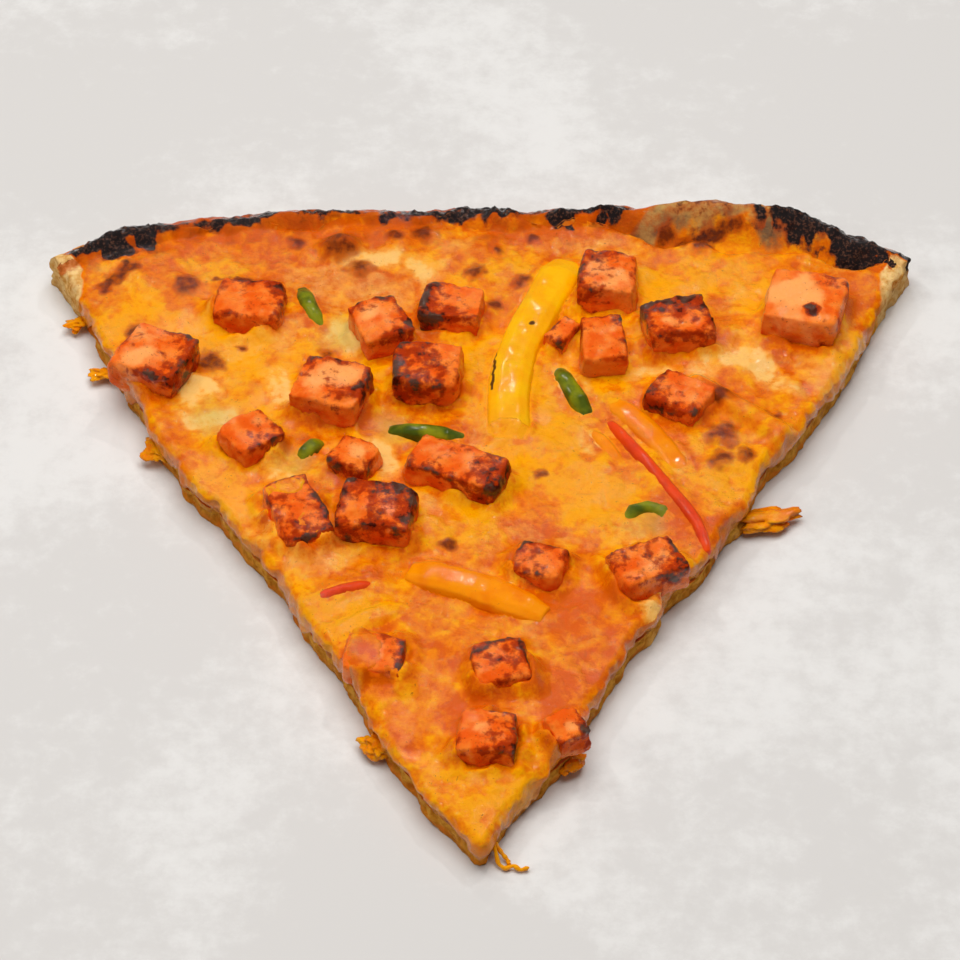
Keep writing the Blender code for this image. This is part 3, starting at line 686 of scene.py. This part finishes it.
def squared(points, sharpness):
    """The cube with its worn edges pushed out towards its own turned box, and each point's
    place in that box from -1 to 1 along both sides."""
    u, v, turn, middle, halves = cube_axes(points)
    low, high = points[:, 2].min(), points[:, 2].max()
    w = 2 * (points[:, 2] - low) / (high - low) - 1
    box = np.stack([u, v, w], axis=1)
    reach = np.abs(box).max(axis=1)
    pushed = np.sign(box) * np.abs(box) ** sharpness
    pushed[:, 2] = np.where(w > 0, pushed[:, 2], w)
    pushed *= np.minimum(1, 1 / np.maximum(np.abs(pushed).max(axis=1), 1e-6))[:, None] ** 0.5
    box = box + (pushed - box) * smooth(0.5, 0.85, reach)[:, None]
    c, s = math.cos(turn), math.sin(turn)
    along, across = box[:, 0] * halves[0] + middle[0], box[:, 1] * halves[1] + middle[1]
    z = low + (box[:, 2] + 1) / 2 * (high - low)
    return np.column_stack([along * c - across * s, along * s + across * c, z]), box[:, 0], box[:, 1]


def cube_axes(points):
    """Each point's place in the turned box round a cube in plan, from -1 to 1 along both
    sides, and the box's turn, middle and half sizes."""
    best = None
    for turn in np.radians(np.arange(0, 90, 2.0)):
        along = points[:, 0] * math.cos(turn) + points[:, 1] * math.sin(turn)
        across = points[:, 1] * math.cos(turn) - points[:, 0] * math.sin(turn)
        area = np.ptp(along) * np.ptp(across)
        if best is None or area < best[0]:
            best = (area, turn, along, across)
    turn, along, across = best[1:]
    halves = np.ptp(along) / 2, np.ptp(across) / 2
    middle = along.min() + halves[0], across.min() + halves[1]
    return (along - middle[0]) / halves[0], (across - middle[1]) / halves[1], turn, middle, halves


# How charred and how pale each cube is, from 0 to 1, and where its char lies in plan (an angle).
CUBE_LOOKS = {
    1: (0.55, 0.7, -20), 2: (0.45, 0.1, 80), 3: (0.40, 0.6, 20), 4: (0.55, 0.4, 200), 5: (0.60, 0.3, 200),
    6: (0.50, 0.7, 35), 7: (0.20, 0.3, 0), 8: (0.35, 0.2, 200), 9: (0.45, 0.2, -30), 10: (0.80, 0.2, 100),
    11: (0.60, 0.4, -70), 12: (0.40, 0.7, 130), 13: (0.45, 0.2, 60), 14: (0.85, 0.2, 90),
    15: (0.50, 0.3, 190),
    16: (0.10, 0.75, 30), 17: (0.45, 0.5, 60), 18: (0.75, 0.0, 90), 19: (0.20, 0.3, 0), 20: (0.65, 0.1, 60),
    21: (0.60, 0.2, 0), 22: (0.70, 0.2, -40), 23: (0.55, 0.2, 150),
}


# Round burnt dots on single cubes: x, y, radius.
CUBE_DOTS = {16: ((56.6, 111.6, 1.6),)}


def add_cubes():
    look = paneer_material()
    for number, (charred, pale, angle) in CUBE_LOOKS.items():
        node = f"paneer_{number:02d}"
        points, normals, faces = fine_copy(node, 0.36, 1)
        seed = 200 + 7 * number
        points, u, v = squared(points, 0.72)
        low, high = points[:, 2].min(), points[:, 2].max()
        share = (points[:, 2] - low) / (high - low)
        middle = points[:, :2].mean(axis=0)
        heading = np.array([math.cos(math.radians(angle)), math.sin(math.radians(angle))])
        reach = np.abs(points[:, :2] - middle).max()
        lean = ((points[:, :2] - middle) @ heading) / reach
        rim = smooth(0.55, 0.95, np.maximum(np.abs(u), np.abs(v))) * smooth(0.45, 0.9, share)
        patches = fractal(points, 4.2, 3, seed)
        char = 0.36 * patches + 0.47 * charred + 0.30 * rim + 0.26 * lean + 0.14 * share - 0.03
        char = np.clip(char, 0, 1)
        for x, y, radius in CUBE_DOTS.get(number, ()):
            dot = smooth(1.4, 0.6, oval(points, x, y, radius, radius, 0))
            char = np.maximum(char, dot * smooth(0.80, 0.92, share))
        centre = smooth(1.1, 0.2, np.hypot(u, v)) * smooth(0.5, 0.9, normals[:, 2])
        rubbed = pale * 0.7 + 0.45 * fractal(points, 4, 2, seed + 3) * (0.4 + 0.6 * centre) + 0.25 * centre
        peach = smooth(0.3, 0.95, rubbed)
        lumps = 0.22 * fractal(points, 6.0, 1, seed + 5)
        rough = lumps + 0.24 * fractal(points, 2.6, 3, seed + 1) + 0.10 * fractal(points, 1.1, 2, seed + 2)
        crags = char * (0.34 * np.abs(fractal(points, 1.6, 3, seed + 4)) - 0.08)
        points = points + normals * (rough + crags)[:, None]
        masks = {"char": char, "peach": peach * (1 - char)}
        piece = mesh_object(f"{node}_roasted", points, faces, masks, look)
        finish_piece(piece, node)


# Dark lines and dots on the yellow strip.
YELLOW_LINES = (
    ((11.4, 131.4), (7.2, 121.6), 0.20), ((7.2, 121.6), (3.0, 110.0), 0.15),
    ((2.8, 109.0), (2.0, 97.0), 0.24),
    ((8.9, 112.6), (9.1, 112.6), 0.5), ((5.3, 88.2), (6.1, 88.4), 0.4),
)


def add_peppers():
    looks = {
        "yellow_pepper": pepper_material("yellow_pepper", (0.92, 0.45, 0.0), (0.90, 0.36, 0.0)),
        "orange_pepper": pepper_material("orange_pepper", (0.90, 0.27, 0.0), (0.84, 0.20, 0.0)),
        "red_pepper": pepper_material("red_pepper", (0.78, 0.060, 0.001), (0.66, 0.040, 0.001)),
        "green_pepper": pepper_material("green_pepper", (0.22, 0.23, 0.004), (0.05, 0.075, 0.003)),
    }
    names = [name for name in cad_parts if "pepper" in name]
    for number, name in enumerate(sorted(names)):
        slot = name.rstrip("_12345")
        points, normals, faces = fine_copy(name, 0.34, 2)
        seed = 500 + 11 * number
        wrinkle = 0.07 * fractal(points, 3.6, 2, seed) + 0.03 * fractal(points, 1.0, 2, seed + 1)
        points = points + normals * wrinkle[:, None]
        burn = 0.0 * wrinkle
        if slot == "green_pepper":
            amount = 0.9 if name == "green_pepper_4" else 0.35
            burn = smooth(0.2, 0.7, fractal(points, 2.4, 2, seed + 2)) * amount
        if name == "yellow_pepper":
            burn = streaks(warped(points[:, :2], 1.2, 0.15, seed + 3), YELLOW_LINES, 0.5)
        piece = mesh_object(f"{name}_cooked", points, faces, {"burn": burn}, looks[slot])
        finish_piece(piece, name)


# Thin strings of cheese pulled out at the tip, each a list of places.
STRINGS = (
    (
        (1.6, 3.4, 4.2), (2.4, 1.6, 2.2), (2.8, 0.2, 0.8), (3.8, -0.6, 0.5),
        (5.2, -0.2, 0.9), (6.2, -0.9, 0.5), (7.6, -0.5, 0.8),
    ),
    ((2.2, 2.8, 3.0), (3.3, 1.9, 1.4), (4.3, 1.0, 0.6), (4.5, 0.2, 0.5)),
)
STRING_RADIUS = 0.42


def add_strings():
    """Round strings that follow smooth curves through their places."""
    points, faces = [], []
    sides, steps = 8, 40
    for places in STRINGS:
        spots_on = np.array(places)
        at = np.linspace(0, len(spots_on) - 1, steps)
        path = np.stack([np.interp(at, range(len(spots_on)), spots_on[:, k]) for k in range(3)], axis=1)
        for _ in range(3):
            path[1:-1] = (path[:-2] + 2 * path[1:-1] + path[2:]) / 4
        start = len(points)
        for k, place in enumerate(path):
            along = path[min(k + 1, steps - 1)] - path[max(k - 1, 0)]
            along /= np.linalg.norm(along)
            across = np.cross(along, (0, 0, 1))
            across /= np.linalg.norm(across)
            up = np.cross(across, along)
            taper = min(1, 0.3 + k / 3, 0.3 + (steps - 1 - k) / 3)
            radius = STRING_RADIUS * (0.85 + 0.15 * math.sin(0.7 * k)) * taper
            for side in range(sides):
                turn = math.tau * side / sides
                points.append(place + radius * (across * math.cos(turn) + up * math.sin(turn)))
        for k in range(steps - 1):
            for side in range(sides):
                after = (side + 1) % sides
                row = start + k * sides
                faces.append((row + side, row + after, row + sides + after, row + sides + side))
        faces.append(tuple(start + side for side in reversed(range(sides))))
        faces.append(tuple(start + (steps - 1) * sides + side for side in range(sides)))
    cloud = np.array(points)
    none = 0 * cloud[:, 0]
    masks = {name: none for name in ("pale", "green", "brown", "char", "dough", "skin", "soak")}
    masks["gold"] = 0.95 + none
    piece = mesh_object("tip_strings", cloud, faces, masks, baked_material("tip_strings", 0.35, 0.1))
    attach(piece, "root")


def add_scraps():
    """Torn bits of cheese at the foot of the cut sides."""
    look = baked_material("scraps_torn", 0.35, 0.1)
    rng = np.random.default_rng(9)
    points, faces = [], []
    for place, halves, turn in SCRAPS:
        steps = 22
        c, s = math.cos(math.radians(turn)), math.sin(math.radians(turn))
        start = len(points)
        for i in range(1, steps):
            for k in range(2 * steps):
                a, b = math.pi * i / steps, math.tau * k / (2 * steps)
                ball = np.array([math.sin(a) * math.cos(b), math.sin(a) * math.sin(b), math.cos(a)])
                points.append((place, halves, c, s, ball))
        for i in range(steps - 2):
            for k in range(2 * steps):
                n = (k + 1) % (2 * steps)
                row = start + i * 2 * steps
                faces.append((row + k, row + 2 * steps + k, row + 2 * steps + n, row + n))
        faces.append(tuple(start + k for k in range(2 * steps)))
        faces.append(tuple(start + (steps - 2) * 2 * steps + k for k in reversed(range(2 * steps))))
    balls = np.array([p[4] for p in points])
    places = np.array([p[0] for p in points])
    bumpy = 0.85 + 0.65 * fractal(balls + places, 0.7, 3, 131)
    scaled = balls * bumpy[:, None] * np.array([p[1] for p in points]) * (1, 1, 0.5)
    turn_c, turn_s = np.array([p[2] for p in points]), np.array([p[3] for p in points])
    x = places[:, 0] + scaled[:, 0] * turn_c - scaled[:, 1] * turn_s
    y = places[:, 1] + scaled[:, 0] * turn_s + scaled[:, 1] * turn_c
    z = np.clip(places[:, 2] + scaled[:, 2], 0.03, None)
    cloud = np.column_stack([x, y, z])
    masks = {
        "gold": np.clip(0.75 + 0.3 * fractal(cloud, 2, 2, 133), 0, 1),
        "pale": 0 * x, "green": 0 * x, "char": 0 * x, "dough": 0 * x, "skin": 0 * x,
        "brown": 0.3 * smooth(0.3, 0.9, fractal(cloud, 1.5, 2, 135)),
        "soak": 0.2 + 0 * x,
    }
    piece = mesh_object("scraps_torn", cloud, faces, masks, look)
    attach(piece, "root")


def finish_piece(piece, node):
    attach(piece, "root")
    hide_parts(node)


# Materials


class Nodes:
    """Short ways to add shader nodes to one material."""

    def __init__(self, name):
        self.material = bpy.data.materials.new(name)
        self.material.use_nodes = True
        self.tree = self.material.node_tree
        self.shader = self.tree.nodes["Principled BSDF"]

    def add(self, kind, **inputs):
        node = self.tree.nodes.new(kind)
        for key, value in inputs.items():
            self.set(node.inputs[key.replace("_", " ")], value)
        return node

    def set(self, socket, value):
        if isinstance(value, bpy.types.NodeSocket):
            self.tree.links.new(value, socket)
        else:
            socket.default_value = value

    def mask(self, name):
        node = self.add("ShaderNodeAttribute")
        node.attribute_name = name
        return node.outputs["Fac"]

    def noise(self, size_mm, detail=3.0, roughness=0.55, seed=0.0):
        place = self.add("ShaderNodeTexCoord").outputs["Object"]
        moved = self.add("ShaderNodeMapping", Vector=place, Location=(seed, seed * 0.7, -seed))
        node = self.add("ShaderNodeTexNoise", Vector=moved.outputs[0], Scale=1 / (size_mm * MM))
        node.inputs["Detail"].default_value = detail
        node.inputs["Roughness"].default_value = roughness
        return node.outputs["Fac"]

    def math(self, operation, a, b=0.0, clamp=False):
        node = self.tree.nodes.new("ShaderNodeMath")
        node.operation = operation
        node.use_clamp = clamp
        self.set(node.inputs[0], a)
        self.set(node.inputs[1], b)
        return node.outputs[0]

    def ramp(self, value, low, high):
        """0 below low, 1 above high, smooth between."""
        node = self.tree.nodes.new("ShaderNodeMapRange")
        node.interpolation_type = "SMOOTHSTEP"
        for key, given in (("Value", value), ("From Min", low), ("From Max", high)):
            self.set(node.inputs[key], given)
        return node.outputs["Result"]

    def sway(self, grain, amount):
        """A noise moved to lie round 0 and scaled."""
        return self.math("MULTIPLY", self.math("SUBTRACT", grain, 0.5), amount)

    def mix(self, factor, a, b):
        node = self.tree.nodes.new("ShaderNodeMix")
        node.data_type = "RGBA"
        self.set(node.inputs[0], factor)
        for socket, value in ((node.inputs[6], a), (node.inputs[7], b)):
            self.set(socket, (*value, 1) if isinstance(value, tuple) else value)
        return node.outputs[2]

    def bump(self, height, strength, distance_mm, under=None):
        node = self.add("ShaderNodeBump", Height=height, Strength=strength, Distance=distance_mm * MM)
        if under is not None:
            self.set(node.inputs["Normal"], under)
        return node.outputs[0]


def oil(n, weight, wave):
    """A thin oily film with fine waves of its own, which breaks highlights into glints."""
    n.set(n.shader.inputs["Coat Weight"], weight)
    n.shader.inputs["Coat Roughness"].default_value = 0.07
    n.shader.inputs["Coat IOR"].default_value = 1.40
    n.set(n.shader.inputs["Coat Normal"], n.bump(wave, 0.9, 0.22))


def baked_material(name, roughness, soft):
    """Cheese, sauce, bread and char in one, told apart by painted masks."""
    n = Nodes(name)
    coarse, grain, speck = n.noise(5, 4), n.noise(1.4, 5, 0.62, 3.0), n.noise(0.55, 3, 0.6, 7.0)

    def shaken(mask, amount, by=grain):
        return n.math("ADD", n.mask(mask), n.sway(by, amount))

    varied = n.math("ADD", shaken("gold", 1.1), n.sway(speck, 0.8))
    colour = n.mix(n.ramp(varied, 0.0, 0.5), (0.66, 0.100, 0.0), (0.80, 0.185, 0.0))
    colour = n.mix(n.ramp(varied, 0.40, 1.0), colour, (0.90, 0.345, 0.0))
    pale = n.ramp(n.math("ADD", shaken("pale", 0.5, coarse), n.sway(grain, 0.9)), 0.15, 1.0)
    colour = n.mix(n.math("MULTIPLY", pale, 0.85), colour, (0.90, 0.42, 0.055))
    colour = n.mix(n.math("MULTIPLY", n.ramp(pale, 0.6, 1.0), 0.65), colour, (0.90, 0.55, 0.17))
    colour = n.mix(n.math("MULTIPLY", n.mask("green"), 0.5), colour, (0.48, 0.42, 0.08))
    bread = n.mix(n.ramp(grain, 0.35, 0.65), (0.84, 0.55, 0.22), (0.64, 0.31, 0.075))
    colour = n.mix(n.ramp(shaken("dough", 0.5), 0.4, 0.62), colour, bread)
    soaked = n.mix(n.ramp(grain, 0.35, 0.65), (0.76, 0.36, 0.040), (0.50, 0.17, 0.010))
    colour = n.mix(n.ramp(shaken("soak", 0.8), 0.2, 0.9), colour, soaked)
    skin = n.mix(n.ramp(coarse, 0.40, 0.62), (0.52, 0.29, 0.080), (0.20, 0.11, 0.050))
    colour = n.mix(n.ramp(shaken("skin", 0.9), 0.15, 0.85), colour, skin)
    toast = shaken("brown", 1.1)
    colour = n.mix(n.math("MULTIPLY", n.ramp(toast, 0.15, 0.7), 0.75), colour, (0.45, 0.060, 0.001))
    colour = n.mix(n.math("MULTIPLY", n.ramp(toast, 0.65, 1.10), 0.9), colour, (0.135, 0.016, 0.001))
    specks = n.math("MULTIPLY", n.ramp(speck, 0.64, 0.70), n.ramp(coarse, 0.48, 0.6))
    colour = n.mix(n.math("MULTIPLY", specks, 0.7), colour, (0.26, 0.035, 0.002))
    black = n.mix(n.ramp(speck, 0.48, 0.68), (0.014, 0.010, 0.010), (0.105, 0.045, 0.028))
    colour = n.mix(n.ramp(shaken("char", 0.9), 0.34, 0.62), colour, black)
    n.set(n.shader.inputs["Base Color"], colour)
    dry = n.math("MULTIPLY", n.mask("dough"), 0.4)
    shine = n.math("ADD", n.math("MULTIPLY", n.ramp(grain, 0.35, 0.65), 0.24), roughness - 0.12)
    n.set(n.shader.inputs["Roughness"], n.math("ADD", shine, dry, clamp=True))
    n.shader.inputs["Subsurface Weight"].default_value = soft
    n.shader.inputs["Subsurface Radius"].default_value = (1.0, 0.35, 0.05)
    n.shader.inputs["Subsurface Scale"].default_value = 1.2 * MM
    n.shader.inputs["Specular IOR Level"].default_value = 0.05
    low_bump = n.bump(grain, 0.65, 0.40)
    n.set(n.shader.inputs["Normal"], n.bump(speck, 0.6, 0.18, low_bump))
    crumbly = n.math("MULTIPLY", n.mask("dough"), -0.6)
    wet = n.ramp(n.math("ADD", crumbly, n.math("ADD", coarse, 0.12)), 0.42, 0.66)
    oil(n, wet, n.noise(0.9, 3, 0.6, 11.0))
    return n.material


def sauce_material():
    n = Nodes("sauce_layer")
    grain, speck = n.noise(1.5, 4, 0.6), n.noise(0.5, 2, 0.5, 5.0)
    colour = n.mix(n.ramp(grain, 0.35, 0.65), (0.42, 0.10, 0.005), (0.66, 0.25, 0.020))
    colour = n.mix(n.ramp(speck, 0.62, 0.7), colour, (0.16, 0.03, 0.003))
    n.set(n.shader.inputs["Base Color"], colour)
    n.set(n.shader.inputs["Roughness"], n.ramp(grain, -0.6, 1.4))
    n.shader.inputs["Specular IOR Level"].default_value = 0.30
    n.set(n.shader.inputs["Normal"], n.bump(grain, 0.6, 0.4))
    return n.material


def paneer_material():
    """Spiced fresh cheese: coral outside, peach where it is rubbed bare, maroon to grey char."""
    n = Nodes("paneer_roasted")
    coarse, grain, speck = n.noise(3, 3), n.noise(1.7, 5, 0.6, 2.0), n.noise(0.5, 2, 0.5, 6.0)

    def shaken(mask, amount, by=grain):
        return n.math("ADD", n.mask(mask), n.sway(by, amount))

    colour = n.mix(n.ramp(coarse, 0.35, 0.65), (0.78, 0.095, 0.004), (0.92, 0.21, 0.018))
    colour = n.mix(n.ramp(shaken("peach", 0.9), 0.05, 0.85), colour, (0.95, 0.36, 0.095))
    spice = shaken("char", 1.9)
    colour = n.mix(n.math("MULTIPLY", n.ramp(spice, 0.34, 0.70), 0.88), colour, (0.33, 0.020, 0.001))
    colour = n.mix(n.math("MULTIPLY", n.ramp(speck, 0.66, 0.72), 0.5), colour, (0.20, 0.014, 0.002))
    dark = n.mix(n.ramp(coarse, 0.4, 0.6), (0.055, 0.006, 0.002), (0.090, 0.038, 0.022))
    burnt = n.math("ADD", spice, n.sway(coarse, 0.8))
    colour = n.mix(n.ramp(burnt, 0.70, 0.98), colour, dark)
    n.set(n.shader.inputs["Base Color"], colour)
    uneven = n.math("MULTIPLY", n.ramp(grain, 0.35, 0.65), 0.25)
    n.set(n.shader.inputs["Roughness"], n.math("ADD", uneven, 0.22))
    n.shader.inputs["Subsurface Weight"].default_value = 0.08
    n.shader.inputs["Subsurface Radius"].default_value = (1.0, 0.3, 0.06)
    n.shader.inputs["Subsurface Scale"].default_value = 1.0 * MM
    n.shader.inputs["Specular IOR Level"].default_value = 0.05
    oil(n, n.ramp(coarse, 0.42, 0.6), n.noise(0.8, 3, 0.6, 12.0))
    n.set(n.shader.inputs["Normal"], n.bump(speck, 0.45, 0.14, n.bump(grain, 0.7, 0.40)))
    return n.material


def pepper_material(name, bright, deep):
    n = Nodes(name + "_skin")
    coarse, grain, speck = n.noise(4, 3), n.noise(1.2, 3, 0.5, 4.0), n.noise(0.5, 2, 0.5, 8.0)
    colour = n.mix(n.ramp(coarse, 0.35, 0.65), bright, deep)
    colour = n.mix(n.math("MULTIPLY", n.ramp(speck, 0.70, 0.76), 0.4), colour, tuple(0.4 * c for c in deep))
    colour = n.mix(n.ramp(n.mask("burn"), 0.3, 0.8), colour, (0.100, 0.030, 0.003))
    n.set(n.shader.inputs["Base Color"], colour)
    n.set(n.shader.inputs["Roughness"], n.math("ADD", n.math("MULTIPLY", grain, 0.25), 0.18))
    n.shader.inputs["Subsurface Weight"].default_value = 0.10
    n.shader.inputs["Subsurface Radius"].default_value = (1.0, 0.5, 0.1)
    n.shader.inputs["Subsurface Scale"].default_value = 1.5 * MM
    n.shader.inputs["Specular IOR Level"].default_value = 0.05
    n.set(n.shader.inputs["Normal"], n.bump(grain, 0.25, 0.2))
    oil(n, 0.8, n.noise(1.6, 2, 0.5, 13.0))
    return n.material


# Camera, light and floor

CAMERA_TILT = math.radians(45.59)
CAMERA_DISTANCE = 700.0
CAMERA_TARGET_Y = 83.75
FOCAL_PIXELS = 4159.8
PICTURE_PIXELS = 960
SENSOR = 36.0


def add_camera():
    camera = bpy.data.cameras.new("camera")
    camera.sensor_width = SENSOR
    camera.lens = SENSOR * FOCAL_PIXELS / PICTURE_PIXELS
    camera.clip_start, camera.clip_end = 0.05, 20
    obj = bpy.data.objects.new("camera", camera)
    bpy.context.scene.collection.objects.link(obj)
    place = (
        0.0,
        CAMERA_TARGET_Y - CAMERA_DISTANCE * math.cos(CAMERA_TILT),
        CAMERA_DISTANCE * math.sin(CAMERA_TILT),
    )
    obj.location = np.array(place) * MM + SHIFT
    obj.rotation_euler.x = math.pi / 2 - CAMERA_TILT
    bpy.context.scene.camera = obj


def add_light(name, place, size, watts, colour=(1, 1, 1), glossy=True):
    light = bpy.data.lights.new(name, "AREA")
    light.shape = "DISK"
    light.size = size
    light.energy = watts
    light.color = colour
    obj = bpy.data.objects.new(name, light)
    bpy.context.scene.collection.objects.link(obj)
    obj.visible_glossy = glossy
    obj.location = place
    obj.rotation_euler = (-Vector(place)).to_track_quat("-Z", "Y").to_euler()


def add_lights():
    add_light("overhead", (0.0, 0.05, 1.0), 0.9, 8.9, glossy=False)
    add_light("window", (-0.7, -0.35, 0.7), 0.4, 1.5, (1.0, 0.98, 0.95), glossy=False)
    add_light("glints_right", (0.30, 0.50, 0.90), 0.05, 1.1)
    add_light("glints_left", (-0.5, 0.30, 0.90), 0.05, 0.9)
    add_light("glints_back", (-0.1, 0.75, 0.75), 0.05, 0.5)
    world = bpy.data.worlds.new("studio")
    world.use_nodes = True
    background = world.node_tree.nodes["Background"]
    background.inputs["Color"].default_value = (1.0, 0.99, 0.97, 1)
    background.inputs["Strength"].default_value = 0.12
    bpy.context.scene.world = world


def add_floor():
    half = 1.5
    mesh = bpy.data.meshes.new("floor")
    corners = [(-half, -half, 0), (half, -half, 0), (half, half, 0), (-half, half, 0)]
    mesh.from_pydata(corners, [], [(0, 1, 2, 3)])
    n = Nodes("floor")
    wide, grain = n.noise(70, 3, 0.5), n.noise(5, 6, 0.7, 0.3)
    dusty = n.math("ADD", wide, n.sway(grain, 0.5))
    paper = n.mix(n.ramp(dusty, 0.44, 0.64), (0.655, 0.63, 0.605), (0.745, 0.725, 0.70))
    n.set(n.shader.inputs["Base Color"], paper)
    n.shader.inputs["Roughness"].default_value = 0.6
    n.shader.inputs["Specular IOR Level"].default_value = 0.2
    mesh.materials.append(n.material)
    floor = bpy.data.objects.new("floor", mesh)
    bpy.context.scene.collection.objects.link(floor)


add_camera()
add_lights()
add_floor()
add_crust()
add_sauce()
add_cheese()
add_cubes()
add_peppers()
add_scraps()
add_strings()
bpy.context.scene.view_settings.view_transform = "Standard"
